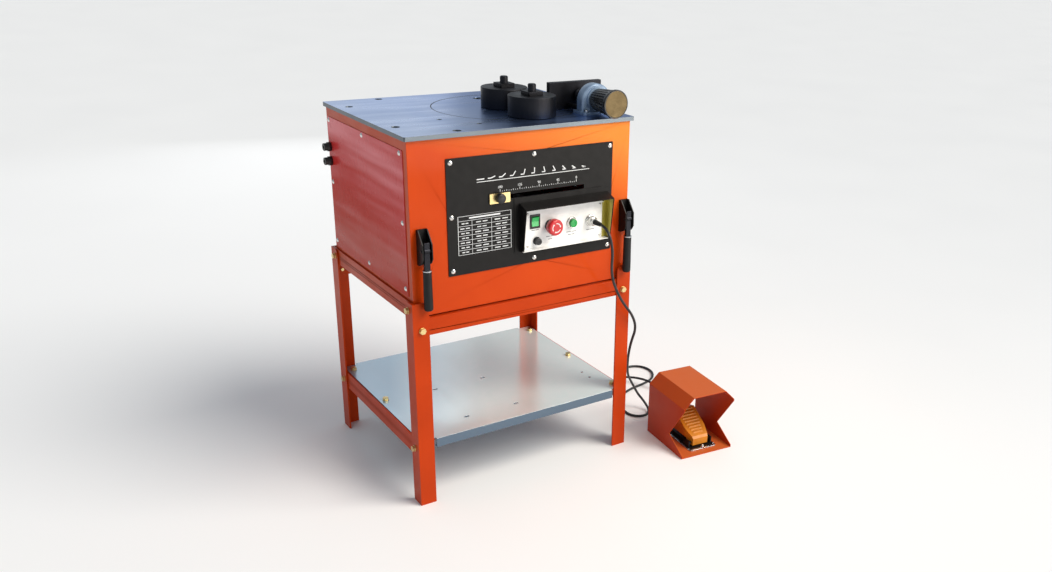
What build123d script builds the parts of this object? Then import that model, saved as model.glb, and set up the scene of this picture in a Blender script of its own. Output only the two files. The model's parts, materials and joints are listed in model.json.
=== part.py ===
"""Hydraulic rebar bender on an angle-iron stand, with a guarded foot pedal.

Everything is laid out about the middle of the stand, on the floor: +X runs to the right along the
front, +Y to the back, +Z up. The whole is then moved so that the origin lies under the middle of its
bounding box. All sizes are in millimetres.
"""
import os
from math import atan2, cos, pi, radians, sin, tan

from build123d import *

# ---- place of the stand in the part's frame -------------------------------------------------------
STAND_X = -122.0                  # the stand's middle, seen from the middle of the bounding box
STAND_Y = 72.75

# ---- stand ----------------------------------------------------------------------------------------
STAND_HALF = 301.5                # half the stand's outer width
STAND_FRONT = -247.5
STAND_BACK = 261.5
LEG = 40.0                        # flange of the angle iron
LEG_WALL = 4.0
LEG_TOP = 522.0
SIDE_RAIL_Z = 482.0               # under side of the upper side rails
SHELF_TOP = 173.0
SHELF_WALL = 2.0
SHELF_RAIL_H = 46.0
SHELF_LIP = 23.0
SLOT_X = (-143.0, -3.0)           # shelf slots
SLOT_Y = (-183.5, -1.5)
CLIP_HOLES = ((248.0, -110.5), (248.0, -149.5))
SLOT_LONG, SLOT_WIDE = 14.0, 7.0
SHELF_BOLT_X = 277.0
SHELF_BOLT_Y = (-215.0, 8.0, 227.0)
CORNER_BOLT_Z = 456.0
BOLT_HOLE_R = 4.3

# ---- cabinet --------------------------------------------------------------------------------------
CAB_HALF = 293.0
CAB_FRONT = -236.0
CAB_BACK = 245.0
CAB_Z0 = 486.0
CAB_Z1 = 890.0
SHEET = 2.0
RETURN = 30.0                     # folded edge round each cover opening
COVER_WALL = 1.5
COVER_Y = (-215.0, 238.0)
COVER_Z = (530.0, 866.0)
GLAND_Z = (791.0, 755.0)
GLAND_Y = 228.0
GLAND_R = 11.5
GLAND_HOLE_R = 8.0

# ---- table and turntable --------------------------------------------------------------------------
TABLE_HALF = 300.0
TABLE_FRONT = -243.0
TABLE_BACK = 247.0
TABLE_TOP = 900.0
TABLE_WALL = 10.0
TURN_X, TURN_Y = 77.0, 6.0        # turntable axis
TURN_R = 180.0
TURN_GAP = 1.0
TURN_WALL = 19.0
TABLE_HOLES = ((-162, 228, 9.5), (-268, 152, 9), (-269.5, -129, 10), (-144, -86, 6), (-84, -169.5, 6),
               (-166, -222, 10))
ORBIT = 137.0                     # bending roller's distance from the turntable axis
ROLLER_R = 58.0
ROLLER_Z = (900.6, 950.0)
PIN_R = 15.0
STUD_R = 10.0
SHOULDER_R = 11.0                 # the stud's foot, inside the washer
STUD_TOP = 976.0
WASHER = 40.0
WASHER_WALL = 9.0
RUN = 0.06                        # running clearance of a shaft, on the radius

# ---- drive ----------------------------------------------------------------------------------------
MODULE = 6.0
TEETH = 22
PITCH_R = MODULE * TEETH / 2
GEAR_Z = (772.0, 808.0)
BACKLASH = 0.5
RACK_X = (55.0, 287.0)
TRAVEL = PITCH_R * pi             # rack travel for half a turn
CYL_Y, CYL_Z, CYL_R = -145.0, 790.0, 28.0
CYL_X = (-282.0, 50.0)
ROD_R = 14.0
SPINDLE_R = 30.0
BEARING_R = 50.0
DECK_Z = (856.0, 872.0)           # upper plate of the gear housing
FLOOR_Z = (736.0, 752.0)          # lower plate of the gear housing
MOTOR_Y, MOTOR_Z, MOTOR_R = 60.0, 575.0, 62.0

# ---- fence ----------------------------------------------------------------------------------------
FENCE_X = (150.0, 302.0)
FENCE_Y = (-91.5, -77.5)
FENCE_TOP = 968.0
SCREW_X, SCREW_Z = 237.0, 935.0
SCREW_R = 10.0
KNOB_R, KNOB_BACK_R = 34.5, 26.5
KNOB_RIM = 8.0
FLUTES = 28
KNOB_Y = (-255.5, -177.5)
KNOB_NECK_R = 16.0
BRACKET_Y = (-171.5, -143.5)
BRACKET_R = 42.0
GUIDE_R, GUIDE_DX, GUIDE_Z = 6.0, 31.0, 911.5
FOOT_HALF = 46.0                  # half the width of the fence bracket's foot
FOOT_FRONT = -187.0
FENCE_BOLTS = ((-37.0, -180.0), (37.0, -180.0))

# ---- front ----------------------------------------------------------------------------------------
PLATE_X = (-204.0, 242.0)
PLATE_Z = (570.0, 843.0)
PLATE_Y = (-238.0, -236.0)
SLIDE_X = (-91.0, 160.0)
SLIDE_Z = (735.0, 746.0)
SLIDER_X = (-98.5, -45.5)
SLIDER_Z = (728.5, 752.0)
SLIDER_KNOB_X, SLIDER_KNOB_Z, SLIDER_KNOB_R = -74.0, 741.5, 11.5
PANEL_X = (-18.5, 226.5)
PANEL_Z = (603.0, 702.0)
PANEL_Y = (-239.5, -238.0)
HOOD_X = (-20.0, 228.0)
HOOD_DEPTH = 34.0
HOOD_TOP = 722.0
ROCKER_X, ROCKER_Z = 21.5, 672.0
ROCKER_PIVOT_Y = -234.0
ROCKER_TILT = 6.0                 # at rest; the key swings twice this the other way
FUSE_X, FUSE_Z = 26.0, 623.0
STOP_X, STOP_Z, STOP_R = 64.0, 656.5, 20.0
START_X, START_Z = 124.0, 655.0
SOCKET_X, SOCKET_Z = 179.0, 653.0

# ---- carry handles --------------------------------------------------------------------------------
HANDLE_X = (-267.0, 280.0)
HANDLE_PIN_Z = 648.0
HANDLE_REACH = 24.0               # pin's distance from the cabinet wall
BRACKET_HALF = 12.5
BRACKET_WALL = 2.5
BACK_LIFT = 17.0                  # the back handles sit this much higher, clear of the legs
GRIP_R = 10.5
GRIP_Z = (507.0, 603.0)

# ---- foot pedal -----------------------------------------------------------------------------------
PEDAL_X, PEDAL_Y, PEDAL_YAW = 377.92, -409.08, -6.25
GUARD_W, GUARD_D, GUARD_H = 160.0, 184.0, 177.0
GUARD_CHAMFER = 29.0
GUARD_WALL = 2.0
TREADLE_MID = 84.0                # middle of the treadle across the guard
TREADLE_PIVOT = (48.0, 16.0)      # depth into the guard, height

# ---- cord -----------------------------------------------------------------------------------------
CORD_D = 7.0
CORD_R = CORD_D / 2
CORD_POINTS = [
    (179, -279.5, 653), (179, -306, 653), (178, -332, 632), (184, -334, 594), (196, -313, 550),
    (213, -294, 511), (237, -279, 470), (267, -269, 426), (303, -263, 384), (324, -253, 340),
    (322, -235.5, 294), (333, -210.5, 247), (354, -179, 198), (382, -143, 148), (412, -118, 110),
    (436, -104, 78), (456, -96, 48), (472, -104, 25), (475, -127, 8), (459, -150, 4), (430, -153, 4),
    (409, -133, 4), (406, -103, 4), (418, -66, 4), (439, -30, 4), (472, -2, 4), (516, 15, 4),
    (564, 22, 4), (604, 34, 4), (634, 60, 4), (648, 98, 4), (637, 136, 4), (604, 153, 4), (568, 144, 4),
    (543, 117, 4), (536, 80, 11), (548, 43, 22), (569, 4, 22), (582, -36, 11), (580, -74, 4),
    (565, -112, 4), (541, -148, 4), (514, -182, 8), (492, -212, 13), (480.3, -240, 14),
    (474.5, -267.5, 14)]


# ---- shape helpers --------------------------------------------------------------------------------
def block(x, y, z):
    """Box from three (low, high) pairs."""
    size = (x[1] - x[0], y[1] - y[0], z[1] - z[0])
    return Pos((x[0] + x[1]) / 2, (y[0] + y[1]) / 2, (z[0] + z[1]) / 2) * Box(*size)


def rod_x(y, z, r, x):
    return Pos((x[0] + x[1]) / 2, y, z) * Rot(0, 90, 0) * Cylinder(r, x[1] - x[0])


def rod_y(x, z, r, y):
    return Pos(x, (y[0] + y[1]) / 2, z) * Rot(90, 0, 0) * Cylinder(r, y[1] - y[0])


def rod_z(x, y, r, z):
    return Pos(x, y, (z[0] + z[1]) / 2) * Cylinder(r, z[1] - z[0])


def plate_x(points, x):
    """Outline of (y, z) points, extruded along X."""
    return extrude(Plane.YZ.offset(x[0]) * Polygon(*points, align=None), x[1] - x[0], (1, 0, 0))


def plate_y(points, y):
    """Outline of (x, z) points, extruded along Y."""
    return extrude(Plane.XZ.offset(-y[0]) * Polygon(*points, align=None), y[1] - y[0], (0, 1, 0))


def plate_z(points, z):
    """Outline of (x, y) points, extruded along Z."""
    return extrude(Plane.XY.offset(z[0]) * Polygon(*points, align=None), z[1] - z[0], (0, 0, 1))


def round_edges(shape, axis, radius):
    """Fillets every edge that runs along the axis."""
    return fillet(shape.edges().filter_by(axis), radius)


def drilled(shape, places, r, depth):
    """Holes along -Z of each place, through the shape."""
    for place in places:
        shape -= place * Pos(0, 0, -depth / 2) * Cylinder(r, depth + 2)
    return shape


def group(solids):
    """Several separate solids in one node."""
    return Compound(children=[piece for solid in solids for piece in solid.solids()])


def mirrored(shape):
    """The same shape on the other side of the YZ plane."""
    return mirror(shape, about=Plane.YZ)


# ---- stand ----------------------------------------------------------------------------------------
def leg(right, back):
    """Angle-iron leg with a rounded top corner on each flange."""
    x = (-STAND_HALF, -STAND_HALF + LEG)
    y = (STAND_FRONT, STAND_FRONT + LEG)
    front = block(x, (y[0], y[0] + LEG_WALL), (0, LEG_TOP))
    front = fillet(front.edges().filter_by(Axis.Y).sort_by(Axis.Z)[-2:].sort_by(Axis.X)[-1:], 15)
    side = block((x[0], x[0] + LEG_WALL), y, (0, LEG_TOP))
    side = fillet(side.edges().filter_by(Axis.X).sort_by(Axis.Z)[-2:].sort_by(Axis.Y)[-1:], 15)
    shape = front + side
    if back:
        shape = mirror(shape, about=Plane.XZ.offset(-(STAND_FRONT + STAND_BACK) / 2))
    if right:
        shape = mirrored(shape)
    return drilled(shape, bolt_places(), BOLT_HOLE_R, 12)


def side_rail(z, height, flange_on_top):
    """Left angle rail, inside the leg flanges."""
    x = (-STAND_HALF + LEG_WALL, -STAND_HALF + 2 * LEG_WALL)
    y = (STAND_FRONT + LEG_WALL, STAND_BACK - LEG_WALL)
    wall = block(x, y, (z, z + height))
    top = (z + height - LEG_WALL, z + height) if flange_on_top else (z, z + LEG_WALL)
    return wall + block((x[0], x[0] + LEG), y, top)


def cross_rail():
    """Front angle rail: its level flange lies under the side rails."""
    x = (-STAND_HALF + LEG_WALL, STAND_HALF - LEG_WALL)
    y = STAND_FRONT + LEG_WALL
    wall = block(x, (y, y + LEG_WALL), (SIDE_RAIL_Z - 42, SIDE_RAIL_Z))
    return wall + block(x, (y, y + LEG), (SIDE_RAIL_Z - LEG_WALL, SIDE_RAIL_Z))


def stand_rails():
    left = side_rail(SIDE_RAIL_Z, LEG_TOP - SIDE_RAIL_Z, False)
    front = cross_rail()
    back = mirror(front, about=Plane.XZ.offset(-(STAND_FRONT + STAND_BACK) / 2))
    rails = [left, mirrored(left), front, back]
    return group([drilled(rail, bolt_places(), BOLT_HOLE_R, 12) for rail in rails])


def shelf_rails():
    left = side_rail(SHELF_TOP - SHELF_WALL - SHELF_RAIL_H, SHELF_RAIL_H, True)
    rails = [left, mirrored(left)]
    return group([drilled(rail, bolt_places(), BOLT_HOLE_R, 12) for rail in rails])


def shelf():
    """Folded galvanised tray: notched corners, a lip at the front and the back, slots."""
    z = (SHELF_TOP - SHELF_WALL, SHELF_TOP)
    tongue = STAND_HALF - LEG - 6
    y0, y1 = STAND_FRONT - 2.5, STAND_BACK + 2.5
    plate = block((-CAB_HALF, CAB_HALF), (STAND_FRONT + LEG_WALL, STAND_BACK - LEG_WALL), z)
    plate += block((-tongue, tongue), (y0, y1), z)
    lip_z = (SHELF_TOP - SHELF_LIP, SHELF_TOP)
    for y in ((y0, y0 + SHELF_WALL), (y1 - SHELF_WALL, y1)):
        plate += block((-tongue, tongue), y, lip_z)
    hem_z = (SHELF_TOP - SHELF_LIP, SHELF_TOP - SHELF_LIP + SHELF_WALL)
    for y in ((y0, y0 + 12), (y1 - 12, y1)):
        plate += block((-tongue, tongue), y, hem_z)
    for x in SLOT_X:
        for y in SLOT_Y:
            slot = SlotOverall(SLOT_LONG, SLOT_WIDE)
            plate -= extrude(Plane.XY.offset(z[0] - 1) * Pos(x, y) * slot, amount=SHELF_WALL + 2)
    for x, y in CLIP_HOLES:
        plate -= rod_z(x, y, SLOT_WIDE / 2, (z[0] - 1, z[1] + 1))
    return drilled(plate, bolt_places(), BOLT_HOLE_R, 12)


def hex_bolt(head, shank):
    """Bolt along +Z from the origin: washer and hexagon above, shank below."""
    washer = Cylinder(8, 1.5, align=(Align.CENTER, Align.CENTER, Align.MIN))
    hexagon = extrude(Plane.XY.offset(1.5) * RegularPolygon(7.5, 6), amount=head)
    rod = Pos(0, 0, -shank / 2) * Cylinder(4, shank)
    return washer + hexagon + rod


def bolt_places():
    """Every stand bolt: its head's seat, with +Z out of the metal."""
    places = []
    x = STAND_HALF - LEG / 2 - 2
    for side in (-1, 1):
        for y, turn in ((STAND_FRONT, 90), (STAND_BACK, -90)):
            places.append(Pos(side * x, y, CORNER_BOLT_Z) * Rot(turn, 0, 0))
        for y in (STAND_FRONT + 24, STAND_BACK - 24):
            for z in (148, SIDE_RAIL_Z + 20):
                places.append(Pos(side * STAND_HALF, y, z) * Rot(0, side * 90, 0))
        for y in SHELF_BOLT_Y:
            places.append(Pos(side * SHELF_BOLT_X, y, SHELF_TOP))
    return places


def stand_bolts():
    return group([place * hex_bolt(5.5, 12) for place in bolt_places()])


# ---- cabinet --------------------------------------------------------------------------------------
def cabinet_shell():
    """Welded sheet box: front wall, floor, folded edges round the side, back and top openings."""
    z = (CAB_Z0, CAB_Z1)
    outer = block((-CAB_HALF, CAB_HALF), (CAB_FRONT, CAB_BACK), z)
    shell = outer - block((-CAB_HALF + SHEET, CAB_HALF - SHEET), (CAB_FRONT + SHEET, CAB_BACK - SHEET),
                          (z[0] + SHEET, z[1] - SHEET))
    window_y = (COVER_Y[0] + RETURN, COVER_Y[1] - RETURN)
    window_z = (COVER_Z[0] + RETURN, COVER_Z[1] - RETURN)
    shell -= block((-CAB_HALF - 1, CAB_HALF + 1), window_y, window_z)
    shell -= block((-240, 240), (CAB_BACK - 5, CAB_BACK + 1), window_z)
    shell -= block((-262, 262), (CAB_FRONT + RETURN, CAB_BACK - RETURN), (z[1] - 5, z[1] + 1))
    shell -= block((SLIDE_X[0] - 8, SLIDE_X[1] + 8), (CAB_FRONT - 1, CAB_FRONT + 5), (720, 764))
    shell -= block((PANEL_X[0] + 12, PANEL_X[1] - 12), (CAB_FRONT - 1, CAB_FRONT + 5), (608, 694))
    for z in GLAND_Z:
        shell -= rod_x(GLAND_Y, z, GLAND_HOLE_R, (-CAB_HALF - 5, -CAB_HALF + 5))
    shell = drilled(shell, face_screw_places(), 2.2, 8)
    shell = drilled(shell, bolt_places(), BOLT_HOLE_R, 12)
    return drilled(shell, cover_screw_places(), 2.2, 8)


def side_cover(side):
    """Flat cover with its edge folded in a little, screwed on from outside."""
    x = (CAB_HALF, CAB_HALF + COVER_WALL)
    plate = round_edges(block(x, COVER_Y, COVER_Z), Axis.X, 4)
    plate += block((CAB_HALF - 10, CAB_HALF), (-170, 190), (575, 577))
    if side < 0:
        plate = mirrored(plate)
        for z in GLAND_Z:
            plate -= rod_x(GLAND_Y, z, GLAND_HOLE_R, (-CAB_HALF - 5, -CAB_HALF + 5))
    return drilled(plate, cover_screw_places(), 2.2, 8)


def back_cover():
    y = (CAB_BACK, CAB_BACK + COVER_WALL)
    plate = round_edges(block((-268, 268), y, COVER_Z), Axis.Y, 4)
    for i in range(8):
        plate -= block((-150, -30), (y[0] - 1, y[1] + 1), (620 + 16 * i, 626 + 16 * i))
    return drilled(plate, cover_screw_places(), 2.2, 8)


def button_screw(length):
    """Button-head screw along +Z, head above the origin."""
    head = Pos(0, 0, -5.2) * Sphere(8) & Pos(0, 0, 2) * Box(12, 12, 4)
    return head + Pos(0, 0, -length / 2) * Cylinder(2, length)


def cover_screw_places():
    """Eight screws round each side cover and six round the back cover."""
    places = []
    spots = [(y, z) for y in (-200, 14, 228) for z in (858, 546)] + [(-200, 701), (228, 701)]
    for side in (-1, 1):
        for y, z in spots:
            places.append(Pos(side * (CAB_HALF + COVER_WALL), y, z) * Rot(0, side * 90, 0))
    for x in (-256, 0, 256):
        for z in (858, 542):
            places.append(Pos(x, CAB_BACK + COVER_WALL, z) * Rot(-90, 0, 0))
    return places


def cover_screws():
    return group([place * button_screw(6) for place in cover_screw_places()])


def cable_glands():
    """Two glands near the back edge of the left wall, with a hole for a cable."""
    glands = []
    for z in GLAND_Z:
        x = -CAB_HALF - COVER_WALL
        body = rod_x(GLAND_Y, z, GLAND_R, (x - 9, x))
        body += rod_x(GLAND_Y, z, GLAND_R - 2, (x - 18.5, x - 9))
        body += rod_x(GLAND_Y, z, GLAND_HOLE_R, (x, x + 14))
        glands.append(body - rod_x(GLAND_Y, z, 4.5, (x - 30, x + 20)))
    return group(glands)


# ---- table and turntable --------------------------------------------------------------------------
def table_plate():
    plate = block((-TABLE_HALF, TABLE_HALF), (TABLE_FRONT, TABLE_BACK),
                  (TABLE_TOP - TABLE_WALL, TABLE_TOP))
    plate = round_edges(plate, Axis.Z, 3)
    plate -= rod_z(TURN_X, TURN_Y, TURN_R + TURN_GAP, (TABLE_TOP - 20, TABLE_TOP + 1))
    for x, y, r in TABLE_HOLES:
        plate -= rod_z(x, y, r, (TABLE_TOP - 20, TABLE_TOP + 1))
    return plate


def turntable_disc():
    disc = rod_z(TURN_X, TURN_Y, TURN_R, (TABLE_TOP - TURN_WALL, TABLE_TOP))
    disc -= rod_z(TURN_X, TURN_Y, PIN_R, (TABLE_TOP - 30, TABLE_TOP + 1))
    for turn in (-90, 90):
        x = TURN_X + ORBIT * cos(radians(turn))
        y = TURN_Y + ORBIT * sin(radians(turn))
        disc -= rod_z(x, y, PIN_R, (TABLE_TOP - 30, TABLE_TOP + 1))
    disc -= rod_z(TURN_X - 69, TURN_Y - 25, 4, (TABLE_TOP - 30, TABLE_TOP + 1))
    return disc


def spindle():
    z = (FLOOR_Z[0] - 6, TABLE_TOP - TURN_WALL)
    shape = rod_z(TURN_X, TURN_Y, SPINDLE_R, z)
    shape += rod_z(TURN_X, TURN_Y, 62, (z[1] - 6, z[1]))
    return shape - rod_z(TURN_X, TURN_Y, PIN_R, (z[1] - 40, z[1] + 1))


def involute(base_r, r):
    """Polar angle of the involute of base_r where it reaches radius r."""
    roll = (max(r / base_r, 1.0) ** 2 - 1) ** 0.5
    return roll - atan2(roll, 1)


def pinion():
    """Spur gear with involute flanks, set with a tooth gap facing the rack."""
    base_r = PITCH_R * cos(radians(20))
    tip_r, root_r = PITCH_R + MODULE - 0.3, PITCH_R - 1.25 * MODULE
    half = pi / (2 * TEETH) - BACKLASH / (2 * PITCH_R) + involute(base_r, PITCH_R)
    radii = [max(root_r, base_r) + i * (tip_r - max(root_r, base_r)) / 4 for i in range(5)]
    points = []
    for tooth in range(TEETH):
        middle = -pi / 2 + (tooth + 0.5) * 2 * pi / TEETH
        flank = [(root_r, half)] + [(r, half - involute(base_r, r)) for r in radii]
        polar = [(r, middle - a) for r, a in flank] + [(r, middle + a) for r, a in reversed(flank)]
        points += [(TURN_X + r * cos(a), TURN_Y + r * sin(a)) for r, a in polar]
    gear = plate_z(points, GEAR_Z)
    return gear - rod_z(TURN_X, TURN_Y, SPINDLE_R, (GEAR_Z[0] - 1, GEAR_Z[1] + 1))


def gear_housing():
    """Two plates joined by a back wall, with bearing bores and a guide for the rack."""
    x, y = (TURN_X - 100, TURN_X + 100), (TURN_Y - 116, TURN_Y + 94)
    shape = block((TURN_X - 165, TURN_X + 165), (TURN_Y - 165, TURN_Y + 165), DECK_Z)
    for dx in (-150, 150):
        for dy in (-150, 150):
            shape += rod_z(TURN_X + dx, TURN_Y + dy, 13, (DECK_Z[1], CAB_Z1))
    shape += block(x, y, FLOOR_Z)
    shape += block(x, (y[1] - 14, y[1]), (FLOOR_Z[0], DECK_Z[1]))
    guide_y = TURN_Y - PITCH_R - 28.3
    shape += block(x, (y[0], guide_y), (FLOOR_Z[0], GEAR_Z[1] + 4))
    shape += block(x, (y[0], guide_y + 16), (FLOOR_Z[0], GEAR_Z[0] - 0.3))
    for z in (FLOOR_Z, DECK_Z):
        shape -= rod_z(TURN_X, TURN_Y, BEARING_R, (z[0] - 1, z[1] + 1))
    return shape


def spindle_bearings():
    """Two ball bearings: outer ring, inner ring and the balls between them."""
    pieces = []
    for z in (FLOOR_Z, DECK_Z):
        middle = (z[0] + z[1]) / 2
        outer = rod_z(TURN_X, TURN_Y, BEARING_R, z) - rod_z(TURN_X, TURN_Y, BEARING_R - 6, z)
        inner = rod_z(TURN_X, TURN_Y, SPINDLE_R + 6, z) - rod_z(TURN_X, TURN_Y, SPINDLE_R + RUN, z)
        pieces += [outer, inner]
        for i in range(12):
            a = 2 * pi * i / 12
            r = (BEARING_R + SPINDLE_R) / 2
            pieces.append(Pos(TURN_X + r * cos(a), TURN_Y + r * sin(a), middle) * Sphere(4))
    return group(pieces)


def roller_spots():
    return ((TURN_X, TURN_Y), (TURN_X, TURN_Y - ORBIT))


def roller(x, y):
    body = chamfer(rod_z(x, y, ROLLER_R, ROLLER_Z).edges().filter_by(GeomType.CIRCLE), 1.2)
    return body - rod_z(x, y, PIN_R + RUN, (ROLLER_Z[0] - 1, ROLLER_Z[1] + 1))


def roller_pins():
    pins = []
    for x, y in roller_spots():
        low, top = TABLE_TOP - TURN_WALL, ROLLER_Z[1] + 0.4
        pin = rod_z(x, y, PIN_R, (low, top)) + rod_z(x, y, SHOULDER_R, (low, top + WASHER_WALL))
        pin += rod_z(x, y, STUD_R, (low, STUD_TOP))
        pins.append(chamfer(pin.edges().filter_by(GeomType.CIRCLE).sort_by(Axis.Z)[-1:], 2))
    return group(pins)


def roller_washers():
    washers = []
    for x, y in roller_spots():
        z = (ROLLER_Z[1] + 0.4, ROLLER_Z[1] + 0.4 + WASHER_WALL)
        half = WASHER / 2
        plate = round_edges(block((x - half, x + half), (y - half, y + half), z), Axis.Z, 3)
        washers.append(plate - rod_z(x, y, SHOULDER_R, (z[0] - 1, z[1] + 1)))
    return group(washers)


# ---- drive ----------------------------------------------------------------------------------------
def rack():
    """Toothed bar, the yoke that joins it to the piston rod, and the striker of the angle switch."""
    pitch_y = TURN_Y - PITCH_R
    pitch = pi * MODULE
    slope = tan(radians(20))
    tip_y, root_y = pitch_y + MODULE - 0.3, pitch_y - 1.25 * MODULE
    bar = block(RACK_X, (pitch_y - 28, root_y), GEAR_Z)
    first = int((RACK_X[0] - TURN_X) / pitch)
    last = int((RACK_X[1] - TURN_X) / pitch)
    for i in range(first, last + 1):
        x = TURN_X + i * pitch
        low = pitch / 4 + (pitch_y - root_y) * slope
        high = pitch / 4 - (tip_y - pitch_y) * slope
        if x - low > RACK_X[0] and x + low < RACK_X[1]:
            outline = [(x - low, root_y), (x + low, root_y), (x + high, tip_y), (x - high, tip_y)]
            bar += plate_z(outline, GEAR_Z)
    yoke_x = (RACK_X[1] - 24, RACK_X[1])
    yoke = block(yoke_x, (pitch_y - 28, pitch_y - 10), (GEAR_Z[1], 818))
    yoke += block(yoke_x, (CYL_Y - 16, pitch_y - 10), (818, 836))
    yoke += block(yoke_x, (CYL_Y - 16, CYL_Y + 16), (774, 836))
    switch_x = SLIDER_KNOB_X + TRAVEL + 14
    yoke += rod_x(CYL_Y - 40, 778, 5, (switch_x, yoke_x[1]))
    yoke += block(yoke_x, (CYL_Y - 46, CYL_Y - 16), (774, 786))
    yoke += block((switch_x, switch_x + 6), (CYL_Y - 70.5, CYL_Y - 34), (736, 783))
    return group([bar, yoke])


def cylinder_barrel():
    """Tube between two square heads, hung from the gear housing by a foot on each head."""
    tube = rod_x(CYL_Y, CYL_Z, CYL_R, CYL_X) - rod_x(CYL_Y, CYL_Z, CYL_R - 4, (CYL_X[0] + 20, 32))
    for x in ((CYL_X[0], CYL_X[0] + 22), (CYL_X[1] - 20, CYL_X[1])):
        tube += block(x, (CYL_Y - 32, CYL_Y + 32), (CYL_Z - 30, CYL_Z + 30))
    tube += block((CYL_X[1] - 20, CYL_X[1]), (CYL_Y - 20, CYL_Y + 32), (CYL_Z, DECK_Z[0]))
    tube += block((-282, -262), (CYL_Y - 30, CYL_Y + 30), (CYL_Z, CAB_Z1 - SHEET))
    return tube - rod_x(CYL_Y, CYL_Z, ROD_R + RUN, (0, CYL_X[1] + 1))


def piston_rod():
    rod = rod_x(CYL_Y, CYL_Z, ROD_R, (0, RACK_X[1] - 24))
    piston = rod_x(CYL_Y, CYL_Z, CYL_R - 4 - RUN, (0, 24))
    return rod + piston


def motor():
    """Finned motor on two feet."""
    x = (84, 276)
    body = rod_x(MOTOR_Y, MOTOR_Z, MOTOR_R - 6, x)
    for i in range(11):
        body += rod_x(MOTOR_Y, MOTOR_Z, MOTOR_R, (98 + 15 * i, 102 + 15 * i))
    body += block((120, 240), (MOTOR_Y - 55, MOTOR_Y + 55), (CAB_Z0 + SHEET, CAB_Z0 + SHEET + 8))
    body += block((135, 225), (MOTOR_Y - 30, MOTOR_Y + 30), (CAB_Z0 + SHEET, MOTOR_Z - 20))
    body += block((150, 220), (MOTOR_Y - 35, MOTOR_Y + 35), (MOTOR_Z, MOTOR_Z + 78))
    return body - rod_x(MOTOR_Y, MOTOR_Z, 10 + RUN, (x[0] - 1, x[0] + 62))


def motor_shaft():
    shaft = rod_x(MOTOR_Y, MOTOR_Z, 10, (-30, 144))
    return shaft + rod_x(MOTOR_Y, MOTOR_Z, 26, (22, 62))


def oil_tank():
    """Open box with a lid, and the pump on its right wall."""
    x, y, z = (-272, -46), (-70, 190), (CAB_Z0 + SHEET, 650)
    inner = block((x[0] + 3, x[1] - 3), (y[0] + 3, y[1] - 3), (z[0] + 3, z[1] + 1))
    tank = block(x, y, z) - inner
    lid = block(x, y, (z[1], z[1] + 4)) + rod_z(-240, 160, 18, (z[1] + 4, z[1] + 26))
    half = 38
    pump = block((x[1], 4), (MOTOR_Y - half, MOTOR_Y + half), (MOTOR_Z - half, MOTOR_Z + half))
    pump -= rod_x(MOTOR_Y, MOTOR_Z, 10 + RUN, (-34, 5))
    return group([tank, lid, pump])


def valve_block():
    """Steel block with two solenoid coils standing on it."""
    body = block((-210, -110), (-50, 20), (654, 700))
    for x in (-190, -130):
        body += rod_z(x, 0, 16, (700, 722))
    return body


def hose(points, r):
    route = FilletPolyline(*points, radius=20)
    return sweep(Plane(origin=route @ 0, z_dir=route % 0) * Circle(r), path=route)


def hydraulic_hoses():
    low = CYL_Z - 30
    first = hose([(-190, -38, 700), (-190, -38, 732), (-272, CYL_Y, 732), (-272, CYL_Y, low)], 6)
    second = hose([(-130, -38, 700), (-130, -38, 732), (40, CYL_Y, 722), (40, CYL_Y, low)], 6)
    return group([first, second])


# ---- fence ----------------------------------------------------------------------------------------
def fence_block():
    """Stop bar for the straight end of the bar, with two guide pins."""
    bar = block(FENCE_X, FENCE_Y, (TABLE_TOP + 0.6, FENCE_TOP))
    bar = chamfer(bar.edges().filter_by(Axis.X), 1)
    bar += rod_y(SCREW_X, SCREW_Z, 17, (FENCE_Y[0] - 8, FENCE_Y[0]))
    pins = [rod_y(SCREW_X + s * GUIDE_DX, GUIDE_Z, GUIDE_R, (BRACKET_Y[0] + 5, FENCE_Y[0]))
            for s in (-1, 1)]
    return group([bar] + pins)


def fence_bracket():
    """Arched casting on a flanged foot."""
    z0 = TABLE_TOP
    mid = SCREW_Z - 5
    body = block((SCREW_X - BRACKET_R, SCREW_X + BRACKET_R), BRACKET_Y, (z0, mid))
    body += rod_y(SCREW_X, mid, BRACKET_R, BRACKET_Y)
    body = chamfer(body.edges().filter_by(GeomType.CIRCLE), 3)
    body += rod_y(SCREW_X, SCREW_Z, 30, (BRACKET_Y[0] - 5, BRACKET_Y[1]))
    body &= block((0, 400), (-300, 0), (z0, z0 + 200))
    foot = block((SCREW_X - FOOT_HALF, SCREW_X + FOOT_HALF), (FOOT_FRONT, BRACKET_Y[1] + 10), (z0, z0 + 7))
    body += round_edges(foot, Axis.Z, 5)
    body -= rod_y(SCREW_X, SCREW_Z, KNOB_NECK_R + RUN, (BRACKET_Y[0] - 10, BRACKET_Y[1] + 1))
    for s in (-1, 1):
        spot = (SCREW_X + s * GUIDE_DX, GUIDE_Z)
        body -= rod_y(*spot, GUIDE_R + RUN, (BRACKET_Y[0] + 2, BRACKET_Y[1] + 20))
    for dx, y in FENCE_BOLTS:
        body -= rod_z(SCREW_X + dx, y, 3.2, (z0 - 1, z0 + 8))
    return body


def fence_bolts():
    bolts = []
    for dx, y in FENCE_BOLTS:
        x, seat = SCREW_X + dx, TABLE_TOP + 7
        head = rod_z(x, y, 5, (seat, seat + 6))
        socket = extrude(Plane.XY.offset(seat + 3) * Pos(x, y) * RegularPolygon(2.8, 6), amount=5)
        bolts.append(head - socket + rod_z(x, y, 3.2, (TABLE_TOP, seat)))
    return group(bolts)


def fence_screw():
    return rod_y(SCREW_X, SCREW_Z, SCREW_R, (KNOB_Y[0] + 40, FENCE_Y[0] - 8))


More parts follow.
